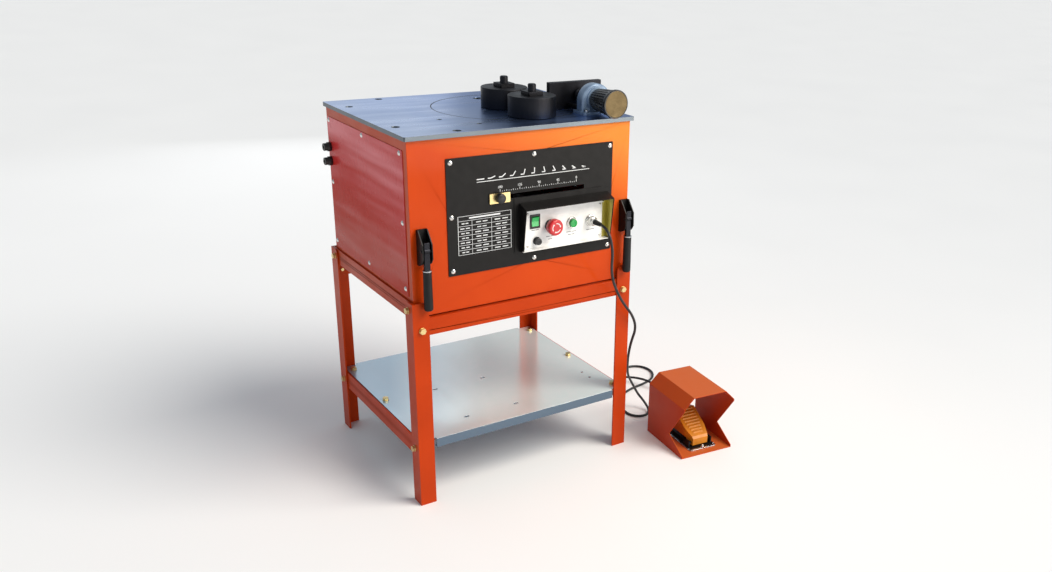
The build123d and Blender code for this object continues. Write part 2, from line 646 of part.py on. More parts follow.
def fence_knob():
    """Tapered, fluted thimble: it turns in the bracket and draws the screw in and out."""
    y0, y1 = KNOB_Y
    rim = y0 + KNOB_RIM
    body = rod_y(SCREW_X, SCREW_Z, KNOB_R, (y0, rim))
    cone = Cone(KNOB_BACK_R, KNOB_R - 1.5, y1 - rim)
    body += Pos(SCREW_X, (rim + y1) / 2, SCREW_Z) * Rot(90, 0, 0) * cone
    for i in range(FLUTES):
        a = 2 * pi * i / FLUTES
        front, back = KNOB_R - 0.5, KNOB_BACK_R + 0.8
        start = Vector(SCREW_X + front * cos(a), rim + 4, SCREW_Z + front * sin(a))
        end = Vector(SCREW_X + back * cos(a), y1 + 1, SCREW_Z + back * sin(a))
        flute = Cylinder(2.2, (end - start).length, align=(Align.CENTER, Align.CENTER, Align.MIN))
        body -= Plane(origin=start, z_dir=end - start) * flute
    body += rod_y(SCREW_X, SCREW_Z, KNOB_NECK_R, (y1, BRACKET_Y[1] + 8))
    return body - rod_y(SCREW_X, SCREW_Z, SCREW_R + RUN, (y0 + 30, 0))


# ---- front ----------------------------------------------------------------------------------------
def face_plate():
    plate = block(PLATE_X, PLATE_Y, PLATE_Z)
    plate = round_edges(plate, Axis.Y, 2)
    plate -= block(SLIDE_X, (-240, -230), SLIDE_Z)
    plate -= block((PANEL_X[0] + 14, PANEL_X[1] - 14), (-240, -230), (610, 692))
    return drilled(plate, face_screw_places(), 2.2, 8)


def face_screw_places():
    spots = [(x, z) for x in (-192.5, 21.5, 234) for z in (833, 581)] + [(-192.5, 708), (234, 708)]
    return [Pos(x, PLATE_Y[0], z) * Rot(90, 0, 0) for x, z in spots]


def face_screws():
    return group([place * button_screw(3.5) for place in face_screw_places()])


def slider_plate():
    """Zinc pointer plate with a neck through the slot."""
    plate = round_edges(block(SLIDER_X, (-242.2, -240.2), SLIDER_Z), Axis.Y, 2)
    neck = block((SLIDE_X[0] + 3, SLIDE_X[0] + 41), (-240.2, -230), (SLIDE_Z[0] + 1, SLIDE_Z[1] - 1))
    bore = rod_y(SLIDER_KNOB_X, SLIDER_KNOB_Z, 3 + RUN, (-245, -232))
    return plate + neck - bore


def slider_knob():
    """Clamp knob with a domed head, on a screw in the slider plate."""
    head = rod_y(SLIDER_KNOB_X, SLIDER_KNOB_Z, SLIDER_KNOB_R, (-257, -242.5))
    head = chamfer(head.edges().filter_by(GeomType.CIRCLE).sort_by(Axis.Y)[:1], 2)
    return head + rod_y(SLIDER_KNOB_X, SLIDER_KNOB_Z, 3, (-242.5, -232.5))


def limit_switch():
    """Switch that rides on the slider behind the front wall, with its roller lever."""
    body = block((SLIDE_X[0] + 4, SLIDE_X[0] + 40), (-230, -216), (724, 758))
    lever = block((SLIDE_X[0] + 40, SLIDE_X[0] + 41.5), (-228, -216), (738, 752))
    return body + lever


def control_hood():
    """Black sheet hood: flange on the face plate, sloping roof and two cheeks."""
    y0 = PLATE_Y[0]
    front = y0 - HOOD_DEPTH
    t = 1.5
    x0, x1 = HOOD_X
    roof = plate_x([(y0, HOOD_TOP), (front, HOOD_TOP - 12), (front, HOOD_TOP - 12 - t),
                    (y0, HOOD_TOP - t)], (x0, x1))
    cheek = [(y0, HOOD_TOP - t), (front, HOOD_TOP - 12 - t), (y0 - 20, 607), (y0, 601)]
    shape = roof + plate_x(cheek, (x0, x0 + t)) + plate_x(cheek, (x1 - t, x1))
    shape += block((x0 - 14, x1), (y0 - t, y0), (HOOD_TOP - t, 734))
    shape += block((x0 - 14, x0), (y0 - t, y0), (601, 734))
    return shape


def control_panel():
    """Plate that carries the switches, with a folded lip at the bottom."""
    x, z = PANEL_X, PANEL_Z
    lip = block((x[0] + 1, x[1] - 1), (PANEL_Y[0] - 14, PANEL_Y[1]), (z[0], z[0] + 1.5))
    plate = block(x, PANEL_Y, z) + lip
    holes = ((STOP_X, STOP_Z, 11.0), (START_X, START_Z, 11.0), (SOCKET_X, SOCKET_Z, 12.5),
             (FUSE_X, FUSE_Z, 8.0))
    for hx, hz, r in holes:
        plate -= rod_y(hx, hz, r, (-245, -230))
    return plate - block((ROCKER_X - 11, ROCKER_X + 11), (-245, -230), (ROCKER_Z - 14, ROCKER_Z + 14))


def panel_bezels():
    """Bodies of the rocker, stop, start and fuse holder, and the round socket."""
    face = PANEL_Y[0]
    rocker = block((ROCKER_X - 13.5, ROCKER_X + 13.5), (face - 2, face), (ROCKER_Z - 17, ROCKER_Z + 17))
    rocker += block((ROCKER_X - 11, ROCKER_X + 11), (face, -205), (ROCKER_Z - 14, ROCKER_Z + 14))
    rocker -= block((ROCKER_X - 9.5, ROCKER_X + 9.5), (face - 3, -222), (ROCKER_Z - 12.5, ROCKER_Z + 12.5))
    stop = rod_y(STOP_X, STOP_Z, 15, (face - 8, face)) + rod_y(STOP_X, STOP_Z, 11, (face, -190))
    stop -= rod_y(STOP_X, STOP_Z, 7 + RUN, (face - 9, -198))
    start = rod_y(START_X, START_Z, 14.5, (face - 9, face)) + rod_y(START_X, START_Z, 11, (face, -195))
    start -= rod_y(START_X, START_Z, 10 + RUN, (face - 10, -211))
    fuse = rod_y(FUSE_X, FUSE_Z, 10, (face - 4, face)) + rod_y(FUSE_X, FUSE_Z, 8, (face, -200))
    fuse -= rod_y(FUSE_X, FUSE_Z, 5 + RUN, (face - 5, -210))
    socket = rod_y(SOCKET_X, SOCKET_Z, 15, (face - 7, face)) + rod_y(SOCKET_X, SOCKET_Z, 12.5, (face, -210))
    socket = chamfer(socket.edges().filter_by(GeomType.CIRCLE).sort_by(Axis.Y)[:1], 1)
    return group([rocker, stop, start, fuse, socket])


def rocker_key():
    """Green key, tipped about its pivot: two faces that meet at a shallow angle."""
    half = 11.2
    outline = [(-9.5, -half), (-7, 0), (-9.5, half), (-2, half), (6, 4), (6, -4), (-2, -half)]
    key = plate_x(outline, (ROCKER_X - 9.2, ROCKER_X + 9.2))
    key += rod_x(0, 0, 2, (ROCKER_X - 9.4, ROCKER_X + 9.4))
    return Pos(0, ROCKER_PIVOT_Y, ROCKER_Z) * Rot(ROCKER_TILT, 0, 0) * key


def fuse_cap():
    face = PANEL_Y[0] - 4.3
    cap = rod_y(FUSE_X, FUSE_Z, 8, (face - 8, face)) + rod_y(FUSE_X, FUSE_Z, 5, (face, -214))
    return cap - block((FUSE_X - 5, FUSE_X + 5), (face - 9, face - 6.5), (FUSE_Z - 0.8, FUSE_Z + 0.8))


def estop_stem():
    face = PANEL_Y[0]
    return rod_y(STOP_X, STOP_Z, 7, (face - 22, -206))


def estop_head():
    """Mushroom head that turns on the end of the stem."""
    face = PANEL_Y[0] - 15
    head = rod_y(STOP_X, STOP_Z, STOP_R, (face - 15, face))
    head = fillet(head.edges().filter_by(GeomType.CIRCLE).sort_by(Axis.Y)[:1], 5)
    return head - rod_y(STOP_X, STOP_Z, 7 + RUN, (face - 7.2, face + 1))


def start_button():
    face = PANEL_Y[0]
    cap = rod_y(START_X, START_Z, 10, (face - 13, -218))
    return fillet(cap.edges().filter_by(GeomType.CIRCLE).sort_by(Axis.Y)[:1], 1.5)


def cord_plug():
    """Round plug in the socket, with the cable's strain relief."""
    start = PANEL_Y[0] - 7
    plug = rod_y(SOCKET_X, SOCKET_Z, 11.5, (start - 10, start))
    plug += rod_y(SOCKET_X, SOCKET_Z, 8.5, (start - 16, start - 10))
    plug += rod_y(SOCKET_X, SOCKET_Z, 5.5, (CORD_POINTS[0][1], start - 16))
    return plug


# ---- carry handles --------------------------------------------------------------------------------
def at_wall(x, back):
    """Location that turns a handle drawn against the plane y = 0 onto the cabinet's front or back."""
    if back:
        return Pos(x, CAB_BACK + COVER_WALL, BACK_LIFT) * Rot(0, 0, 180)
    return Pos(x, CAB_FRONT, 0)


def handle_bracket():
    """Bent bracket with two slanted cheeks and the pivot pin, against the plane y = 0."""
    half, wall = BRACKET_HALF, BRACKET_WALL
    z = (611, 693)
    shape = block((-half, half), (-wall, 0), z)
    cheek = [(0, z[1]), (-9, z[1]), (-31, 664), (-32, 630), (-24, 618), (-9, z[0]), (0, z[0])]
    for x in ((-half, -half + wall), (half - wall, half)):
        shape += plate_x(cheek, x)
    pin = rod_x(-HANDLE_REACH, HANDLE_PIN_Z, 3.5, (-half - 1.5, half + 1.5))
    bore = rod_x(-HANDLE_REACH, HANDLE_PIN_Z, 3.5, (-half - 1, half + 1))
    return [shape - bore, pin]


def handle():
    """Lever with a rubber grip, hanging from the pin, against the plane y = 0."""
    y, z = -HANDLE_REACH, HANDLE_PIN_Z
    lever = block((-7, 7), (y - 4, y + 4), (GRIP_Z[0] + 8, z + 20)) + rod_x(y, z, 6.5, (-7, 7))
    lever -= rod_x(y, z, 3.5 + RUN, (-8, 8))
    grip = rod_z(0, y, GRIP_R, GRIP_Z)
    grip = fillet(grip.edges().filter_by(GeomType.CIRCLE).sort_by(Axis.Z)[:1], 4)
    grip -= block((-7, 7), (y - 4, y + 4), (GRIP_Z[0] + 8, GRIP_Z[1] + 1))
    return group([lever, grip])


def handle_brackets():
    pieces = []
    for x in HANDLE_X:
        pieces += [at_wall(x, False) * piece for piece in handle_bracket()]
        pieces += [at_wall(x, True) * piece for piece in handle_bracket()]
    return group(pieces)


# ---- foot pedal -----------------------------------------------------------------------------------
def pedal(shape):
    """Turns a shape drawn from the guard's front left corner to its place on the floor."""
    return Pos(PEDAL_X, PEDAL_Y, 0) * Rot(0, 0, PEDAL_YAW) * shape


def pedal_guard():
    """Bent sheet tunnel: floor, notched walls, chamfers and roof, open at the front and back."""
    w, d, h, c, t = GUARD_W, GUARD_D, GUARD_H, GUARD_CHAMFER, GUARD_WALL
    outer = [(0, 0), (w, 0), (w, h - c), (w - c, h), (c, h), (0, h - c)]
    k = t * tan(pi / 8)
    inner = [(t, t), (w - t, t), (w - t, h - c - k), (w - c - k, h - t), (c + k, h - t), (t, h - c - k)]
    tunnel = plate_y(outer, (0, d)) - plate_y(inner, (-1, d + 1))
    notch = [(-1, 8), (0, 8), (70, 46), (2, h - c - 9), (-1, h - c - 6)]
    return pedal(tunnel - plate_x(notch, (-1, w + 1)))


def pedal_base():
    """Switch base on the guard's floor, the pivot pin and the return spring's post."""
    u, v = TREADLE_MID, TREADLE_PIVOT[0]
    z0 = GUARD_WALL
    foot = block((u - 37, u + 37), (28, 150), (z0, z0 + 3))
    foot += block((u - 29, u + 29), (v + 14, 146), (z0, 12))
    for side in (-1, 1):
        x = (u + side * 35 - 2, u + side * 35 + 2)
        foot += plate_x([(v - 8, z0), (v + 30, z0), (v + 8, 23), (v - 8, 23)], x)
    foot -= rod_x(v, TREADLE_PIVOT[1], 3, (u - 50, u + 50))
    pin = rod_x(v, TREADLE_PIVOT[1], 3, (u - 37, u + 37))
    relief = block((u - 9, u + 9), (136, 146), (z0, 22)) + rod_y(u, 14, 6, (146, GUARD_D - 34))
    return group([pedal(foot + relief), pedal(pin)])


def pedal_treadle():
    """Wedge-shaped treadle: hollow underneath, narrow at the toe end, ribbed, notched for the cord."""
    u, v = TREADLE_MID, TREADLE_PIVOT[0]
    side = [(v - 8, 8), (v + 4, 8), (v + 18, 24), (152, 24), (152, 68), (142, 78), (128, 80),
            (v - 4, 34), (v - 9, 28)]
    plan = [(u - 23, v - 12), (u + 23, v - 12), (u + 32, v + 22), (u + 32, 128), (u + 24, 154),
            (u - 24, 154), (u - 32, 128), (u - 32, v + 22)]
    shape = plate_x(side, (u - 40, u + 40)) & plate_z(plan, (0, 90))
    hollow = [(v + 20, 20), (146, 20), (146, 66), (126, 74), (v + 20, 38)]
    shape -= plate_x(hollow, (u - 27, u + 27)) & plate_z([(u - 20, v), (u + 20, v), (u + 27, v + 30),
                                                        (u + 27, 120), (u + 18, 150), (u - 18, 150),
                                                        (u - 27, 120), (u - 27, v + 30)], (0, 90))
    shape -= block((u - 12, u + 12), (125, 160), (0, 42))
    rise = (80 - 34) / (128 - v + 4)
    for i in range(9):
        y = v + 4 + 8.5 * i
        z = 34 + (y - v + 4) * rise
        half = 15 + min(i, 4) * 2.2
        shape += plate_x([(y, z - 1), (y + 4, z - 1 + 4 * rise), (y + 3.4, z + 4), (y + 1, z + 2.8)],
                         (u - half, u + half))
    return pedal(shape - rod_x(v, TREADLE_PIVOT[1], 3 + RUN, (u - 50, u + 50)))


# ---- cord -----------------------------------------------------------------------------------------
def cord_radii():
    """Arc radius at each inner point: 0.45 of the shorter run over the tangent of half the turn."""
    radii = []
    for a, b, c in zip(CORD_POINTS, CORD_POINTS[1:], CORD_POINTS[2:]):
        first, second = Vector(*b) - Vector(*a), Vector(*c) - Vector(*b)
        turn = radians(first.get_angle(second))
        radii.append(0.45 * min(first.length, second.length) / tan(turn / 2))
    return radii


def foot_cord():
    """Round cord from the plug to the pedal, as straight runs joined by tangent arcs."""
    route = FilletPolyline(*CORD_POINTS, radius=cord_radii())
    tube = sweep(Plane(origin=route @ 0, z_dir=route % 0) * Circle(CORD_R), path=route)
    print("cord length %.1f, volume over section and length %.4f"
          % (route.length, tube.volume / (pi * CORD_R ** 2 * route.length)))
    print("cord radii", [round(r) for r in cord_radii()])
    return tube


# ---- nodes ----------------------------------------------------------------------------------------
NODES = {
    "leg_front_left": leg(False, False), "leg_front_right": leg(True, False),
    "leg_back_left": leg(False, True), "leg_back_right": leg(True, True),
    "stand_rails": stand_rails(), "shelf_rails": shelf_rails(), "shelf": shelf(),
    "stand_bolts": stand_bolts(), "cabinet_shell": cabinet_shell(),
    "left_cover": side_cover(-1), "right_cover": side_cover(1), "back_cover": back_cover(),
    "cover_screws": cover_screws(), "cable_glands": cable_glands(),
    "table_plate": table_plate(), "turntable_disc": turntable_disc(), "spindle": spindle(),
    "pinion": pinion(), "gear_housing": gear_housing(), "spindle_bearings": spindle_bearings(),
    "mandrel_roller": roller(*roller_spots()[0]), "bending_roller": roller(*roller_spots()[1]),
    "roller_pins": roller_pins(), "roller_washers": roller_washers(),
    "rack": rack(), "cylinder_barrel": cylinder_barrel(), "piston_rod": piston_rod(),
    "motor": motor(), "motor_shaft": motor_shaft(), "oil_tank": oil_tank(),
    "valve_block": valve_block(), "hydraulic_hoses": hydraulic_hoses(),
    "fence_block": fence_block(), "fence_bracket": fence_bracket(), "fence_bolts": fence_bolts(),
    "fence_screw": fence_screw(), "fence_knob": fence_knob(),
    "face_plate": face_plate(), "face_screws": face_screws(), "slider_plate": slider_plate(),
    "slider_knob": slider_knob(), "limit_switch": limit_switch(), "control_hood": control_hood(),
    "control_panel": control_panel(), "panel_bezels": panel_bezels(), "rocker_key": rocker_key(),
    "fuse_cap": fuse_cap(), "estop_stem": estop_stem(), "estop_head": estop_head(),
    "start_button": start_button(), "handle_brackets": handle_brackets(),
    "handle_front_left": at_wall(HANDLE_X[0], False) * handle(),
    "handle_front_right": at_wall(HANDLE_X[1], False) * handle(),
    "handle_back_left": at_wall(HANDLE_X[0], True) * handle(),
    "handle_back_right": at_wall(HANDLE_X[1], True) * handle(),
    "pedal_guard": pedal_guard(), "pedal_base": pedal_base(), "pedal_treadle": pedal_treadle(),
    "foot_cord": foot_cord(), "cord_plug": cord_plug(),
}

os.makedirs("parts", exist_ok=True)
for name, shape in NODES.items():
    export_step(Pos(STAND_X, STAND_Y, 0) * shape, f"parts/{name}.step")
print(len(NODES), "nodes")
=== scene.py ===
"""Rebar bender: materials, visual pieces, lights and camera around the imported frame."""
import json
from math import cos, pi, radians, sin

import bmesh
import bpy
from mathutils import Matrix, Vector


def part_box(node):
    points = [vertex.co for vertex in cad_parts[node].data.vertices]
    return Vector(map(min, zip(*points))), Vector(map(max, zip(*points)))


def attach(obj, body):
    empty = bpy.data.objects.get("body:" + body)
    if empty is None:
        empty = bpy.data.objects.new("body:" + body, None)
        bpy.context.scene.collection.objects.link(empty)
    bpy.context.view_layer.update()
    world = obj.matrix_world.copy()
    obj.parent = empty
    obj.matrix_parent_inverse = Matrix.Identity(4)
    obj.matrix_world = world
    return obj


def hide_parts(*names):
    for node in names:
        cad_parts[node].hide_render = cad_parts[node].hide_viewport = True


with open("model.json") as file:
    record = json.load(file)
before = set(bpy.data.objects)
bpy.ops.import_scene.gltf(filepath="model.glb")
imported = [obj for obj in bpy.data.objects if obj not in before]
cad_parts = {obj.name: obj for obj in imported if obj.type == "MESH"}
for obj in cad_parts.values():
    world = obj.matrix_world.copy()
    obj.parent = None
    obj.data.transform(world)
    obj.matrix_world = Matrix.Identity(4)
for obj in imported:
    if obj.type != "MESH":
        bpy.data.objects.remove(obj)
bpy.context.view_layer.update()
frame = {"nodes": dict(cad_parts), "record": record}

SLOT_OF = {part["node"]: part["material_slot"] for part in frame["record"]["subparts"]}
STAND = Vector((-0.122, 0.07275, 0.0))     # middle of the stand on the floor
TOWARDS = Vector((0, -1, 0))               # out of the front wall


def spot(x, y, z):
    """A place given in millimetres from the middle of the stand."""
    return Vector((x, y, z)) * 0.001 + STAND


# ---- materials ------------------------------------------------------------------------------------
class Look:
    """A procedural material: a Principled shader with textures in the object's own space."""

    def __init__(self, name, colour, rough, metal=0.0, **sockets):
        self.material = bpy.data.materials.new(name)
        self.material.use_nodes = True
        self.tree = self.material.node_tree
        self.shader = next(n for n in self.tree.nodes if n.type == "BSDF_PRINCIPLED")
        self.shader.inputs["Base Color"].default_value = (*colour, 1)
        self.shader.inputs["Roughness"].default_value = rough
        self.shader.inputs["Metallic"].default_value = metal
        for socket, value in sockets.items():
            self.shader.inputs[socket.replace("_", " ")].default_value = value
        coordinates = self.node("ShaderNodeTexCoord").outputs
        self.place, self.facing = coordinates["Object"], coordinates["Normal"]

    def node(self, kind, **values):
        made = self.tree.nodes.new(kind)
        for socket, value in values.items():
            made.inputs[socket.replace("_", " ")].default_value = value
        return made

    def noise(self, scale, detail=3.0, stretch=(1, 1, 1)):
        mapping = self.node("ShaderNodeMapping", Scale=stretch)
        self.tree.links.new(self.place, mapping.inputs["Vector"])
        made = self.node("ShaderNodeTexNoise", Scale=scale, Detail=detail)
        self.tree.links.new(mapping.outputs["Vector"], made.inputs["Vector"])
        return made.outputs["Fac"]

    def cells(self, scale):
        made = self.node("ShaderNodeTexVoronoi", Scale=scale)
        self.tree.links.new(self.place, made.inputs["Vector"])
        return made.outputs["Color"]

    def colour(self, fac, *stops):
        """Base colour from (position, colour) stops."""
        ramp = self.node("ShaderNodeValToRGB")
        elements = ramp.color_ramp.elements
        while len(elements) < len(stops):
            elements.new(0.5)
        for element, (position, colour) in zip(elements, stops):
            element.position = position
            element.color = (*colour, 1)
        self.tree.links.new(fac, ramp.inputs["Fac"])
        self.tree.links.new(ramp.outputs["Color"], self.shader.inputs["Base Color"])
        return self

    def blend(self, source, direction, start, end, colour):
        """Turns the base colour into another along a direction of the place or the facing."""
        along = self.node("ShaderNodeVectorMath")
        along.operation = "DOT_PRODUCT"
        along.inputs[1].default_value = direction
        spread = self.node("ShaderNodeMapRange", From_Min=start, From_Max=end)
        mix = self.node("ShaderNodeMixRGB", Color2=(*colour, 1))
        base = self.shader.inputs["Base Color"]
        self.tree.links.new(source, along.inputs[0])
        self.tree.links.new(along.outputs["Value"], spread.inputs["Value"])
        self.tree.links.new(spread.outputs["Result"], mix.inputs["Fac"])
        self.tree.links.new(base.links[0].from_socket, mix.inputs["Color1"])
        self.tree.links.new(mix.outputs["Color"], base)
        return self

    def vary(self, fac, low, high, socket="Roughness"):
        """Spreads a socket between two values."""
        spread = self.node("ShaderNodeMapRange", From_Min=0.3, From_Max=0.7, To_Min=low, To_Max=high)
        self.tree.links.new(fac, spread.inputs["Value"])
        self.tree.links.new(spread.outputs["Result"], self.shader.inputs[socket])
        return self

    def bump(self, height, strength, distance):
        made = self.node("ShaderNodeBump", Strength=strength, Distance=distance)
        self.tree.links.new(height, made.inputs["Height"])
        before = self.shader.inputs["Normal"].links
        if before:
            self.tree.links.new(before[0].from_socket, made.inputs["Normal"])
        self.tree.links.new(made.outputs["Normal"], self.shader.inputs["Normal"])
        return self


WARM, NEUTRAL = (1.0, 0.6, 0.32, 1.0), (1.0, 1.0, 1.0, 1.0)     # tints of a paint's sheen


def paint(name, light, dark, rough, coat, wave=0.0, tint=WARM, specular=0.2):
    """Enamel with a little orange peel; wave is the sheet's own unevenness. Without a dark colour,
    the caller gives the colours."""
    look = Look(name, light, rough, Coat_Weight=coat, Coat_Roughness=0.09, Specular_IOR_Level=specular,
                Specular_Tint=tint)
    if dark:
        look.colour(look.noise(5, 4), (0.36, light), (0.66, dark))
    look.vary(look.noise(16, 5), rough - 0.05, rough + 0.09)
    if wave:
        look.bump(look.noise(3.2, 2, (1, 0.5, 2.6)), wave, 0.02)
    return look.bump(look.noise(420, 2), 0.05, 0.0004)


def plastic(name, colour, rough, grain=900, depth=0.08, **sockets):
    look = Look(name, colour, rough, **sockets)
    darker = tuple(c * 0.82 for c in colour)
    look.colour(look.noise(30, 3), (0.35, colour), (0.7, darker))
    look.vary(look.noise(60, 4), rough - 0.05, rough + 0.08)
    return look.bump(look.noise(grain, 2), depth, 0.0003)


def metal(name, colour, rough, stretch=(1, 1, 1), scale=260, depth=0.05, **sockets):
    look = Look(name, colour, rough, 1.0, **sockets)
    darker = tuple(c * 0.8 for c in colour)
    look.colour(look.noise(14, 5), (0.34, colour), (0.7, darker))
    look.vary(look.noise(24, 5, stretch), rough - 0.06, rough + 0.1)
    return look.bump(look.noise(scale, 3, stretch), depth, 0.0002)


looks = {
    "orange": paint("cabinet_enamel", (0.54, 0.050, 0.002), (0.49, 0.041, 0.002), 0.36, 0.12),
    "black_sheet": plastic("black_powder_coat", (0.006, 0.0055, 0.0055), 0.42, 700, 0.12,
                           Specular_IOR_Level=0.2),
    "dark_steel": metal("blackened_steel", (0.030, 0.031, 0.037), 0.42, scale=320, depth=0.1),
    "bright_steel": metal("turned_steel", (0.58, 0.60, 0.62), 0.26),
    "zinc_gold": metal("yellow_zinc", (0.78, 0.62, 0.30), 0.34),
    "nickel": metal("nickel_plate", (0.78, 0.77, 0.74), 0.16, depth=0.02),
    "black_plastic": plastic("black_plastic", (0.014, 0.014, 0.015), 0.34),
    "black_rubber": plastic("black_rubber", (0.010, 0.0105, 0.011), 0.50, 1400, 0.16,
                            Specular_IOR_Level=0.25),
    "white_panel": plastic("white_enamel", (0.92, 0.92, 0.91), 0.33, 500, 0.03, Coat_Weight=0.3),
    "green_plastic": plastic("green_plastic", (0.012, 0.34, 0.070), 0.25, 600, 0.02, Coat_Weight=0.3),
    "red_plastic": plastic("red_plastic", (0.56, 0.014, 0.020), 0.28, 600, 0.03, Coat_Weight=0.2),
    "yellow_plastic": plastic("treadle_plastic", (0.66, 0.225, 0.010), 0.42, 800, 0.06),
    "tank_grey": paint("tank_enamel", (0.16, 0.17, 0.18), (0.13, 0.14, 0.15), 0.45, 0.1,
                       tint=NEUTRAL),
    "motor_alu": metal("cast_aluminium", (0.55, 0.56, 0.57), 0.48, scale=180, depth=0.2),
}

# painted highlight: the cabinet's orange turns lighter towards the top and the right, standing in for a
# reflection
looks["orange"].blend(looks["orange"].place, (0.45, 0, 1), 0.70, 0.91, (0.72, 0.185, 0.018))

steel = Look("ground_steel", (0.50, 0.60, 0.76), 0.3, 1.0)
steel.colour(steel.noise(2.2, 5, (1.6, 0.35, 1)), (0.30, (0.40, 0.48, 0.63)), (0.52, (0.27, 0.37, 0.58)),
             (0.72, (0.41, 0.48, 0.60)))
# painted reflection: the steel turns bluer towards the right
steel.blend(steel.place, (1, 0.3, 0), -0.45, 0.12, (0.16, 0.28, 0.60))
# painted shade: faces that don't face up are darker
steel.blend(steel.facing, (0, 0, 1), 0.7, 0.3, (0.12, 0.14, 0.16))
steel.vary(steel.noise(9, 6, (0.4, 3, 1)), 0.24, 0.36)
steel.bump(steel.noise(300, 3, (0.06, 3, 1)), 0.06, 0.0002)
looks["table_steel"] = steel

cast = Look("hammered_casting", (0.20, 0.29, 0.42), 0.4, 0.25, Coat_Weight=0.25)
cast.colour(cast.noise(34, 4), (0.34, (0.24, 0.34, 0.48)), (0.68, (0.15, 0.22, 0.34)))
cast.vary(cast.noise(60, 4), 0.32, 0.48)
cast.bump(cast.noise(240, 3), 0.3, 0.0006)
looks["cast_blue"] = cast

zinc = Look("galvanised_sheet", (0.80, 0.85, 0.85), 0.4, 0.5)
zinc.colour(zinc.cells(60), (0.0, (0.86, 0.97, 0.95)), (1.0, (0.90, 0.98, 0.97)))
# painted shade: the zinc darkens and turns bluer towards the left
zinc.blend(zinc.place, (-1, 0.4, 0), 0.16, 0.42, (0.40, 0.54, 0.64))
# painted shade: faces that don't face up, such as the lip, are darker and bluer
zinc.blend(zinc.facing, (0, 0, 1), 0.7, 0.3, (0.11, 0.16, 0.22))
zinc.vary(zinc.noise(7, 5, (2, 0.5, 1)), 0.15, 0.26)
zinc.bump(zinc.noise(5, 2), 0.12, 0.006)
looks["galvanised"] = zinc

cover_paint = paint("cover_enamel", (0.50, 0.028, 0.006), None, 0.26, 0.10, 0.35, specular=0.04)
# painted reflection: the base colour turns pinkish along level streaks, the same streaks that vary the
# coat
sheen_streaks = cover_paint.noise(2.6, 3, (0.5, 0.35, 5.0))
cover_paint.vary(sheen_streaks, -0.25, 0.60, "Coat Weight")
cover_paint.colour(sheen_streaks, (0.40, (0.50, 0.016, 0.008)),
                   (0.52, (0.60, 0.060, 0.065)), (0.62, (0.74, 0.150, 0.170)))
# painted shade: the covers turn darker towards the bottom
cover_paint.blend(cover_paint.place, (0, 0, -1), -0.72, -0.60, (0.46, 0.024, 0.006))
stand_paint = paint("stand_enamel", (0.49, 0.040, 0.003), (0.41, 0.032, 0.002), 0.36, 0.06)
guard_paint = paint("guard_enamel", (0.50, 0.040, 0.004), (0.42, 0.030, 0.003), 0.38, 0.1)
# painted light: faces turned up are paler orange
guard_paint.blend(guard_paint.facing, (0, 0, 1), 0.5, 0.9, (0.56, 0.115, 0.025))
knob_look = plastic("knob_plastic", (0.012, 0.012, 0.013), 0.22, 900, 0.04)
rocker_green = plastic("rocker_green", (0.020, 0.50, 0.110), 0.25, 600, 0.02, Coat_Weight=0.3)
brass = metal("brass_disc", (0.155, 0.115, 0.060), 0.42, (3, 1, 3), 200, 0.06)
ink = plastic("white_ink", (0.78, 0.80, 0.82), 0.45, 600, 0.02)
grey_ink = plastic("grey_ink", (0.20, 0.20, 0.22), 0.5, 600, 0.02)

CAD_LOOKS = {
    "left_cover": cover_paint, "right_cover": cover_paint, "back_cover": cover_paint,
    "leg_front_left": stand_paint, "leg_front_right": stand_paint, "leg_back_left": stand_paint,
    "leg_back_right": stand_paint, "stand_rails": stand_paint, "shelf_rails": stand_paint,
    "pedal_guard": guard_paint, "rocker_key": rocker_green,
}
FINE_NODES = ("panel_bezels", "rocker_key", "fuse_cap", "start_button", "slider_plate", "face_screws",
              "cover_screws", "fence_bolts", "spindle_bearings", "pinion", "rack", "hydraulic_hoses",
              "foot_cord", "estop_stem")
FLAT_NODES = ("shelf",)                    # large flat faces that must shade as one
MERGE_DISTANCE = 1e-5
FINE_EDGE, PLAIN_EDGE, EDGE_ANGLE = 0.0003, 0.0007, radians(42)


def dress(node):
    """Gives a CAD node its material, joins its split vertices and rounds its edges a little."""
    obj = frame["nodes"][node]
    look = CAD_LOOKS.get(node) or looks[SLOT_OF[node]]
    if not obj.material_slots:
        obj.data.materials.append(look.material)
    for slot in obj.material_slots:
        slot.material = look.material
    weld = obj.modifiers.new("Weld", "WELD")
    weld.merge_threshold = MERGE_DISTANCE
    if node in FLAT_NODES:
        flat = obj.modifiers.new("Planar", "DECIMATE")
        flat.decimate_type = "DISSOLVE"
        flat.angle_limit = radians(0.5)
    bevel = obj.modifiers.new("Bevel", "BEVEL")
    bevel.width = FINE_EDGE if node in FINE_NODES else PLAIN_EDGE
    bevel.segments = 2
    bevel.limit_method = "ANGLE"
    bevel.angle_limit = EDGE_ANGLE
    bevel.harden_normals = True


for cad_node in SLOT_OF:
    dress(cad_node)


# ---- mesh pieces ----------------------------------------------------------------------------------
def piece(name, bm, body, look, soften=0.0):
    """An object from a bmesh in the shared frame, riding on a body."""
    bmesh.ops.recalc_face_normals(bm, faces=bm.faces)
    mesh = bpy.data.meshes.new(name)
    bm.to_mesh(mesh)
    bm.free()
    for face in mesh.polygons:
        face.use_smooth = True
    mesh.set_sharp_from_angle(angle=radians(32))
    mesh.materials.append(look.material)
    obj = bpy.data.objects.new(name, mesh)
    bpy.context.scene.collection.objects.link(obj)
    if soften:
        bevel = obj.modifiers.new("Bevel", "BEVEL")
        bevel.width = soften
        bevel.segments = 3
        bevel.limit_method = "ANGLE"
        bevel.angle_limit = radians(40)
        bevel.harden_normals = True
    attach(obj, body)
    return obj


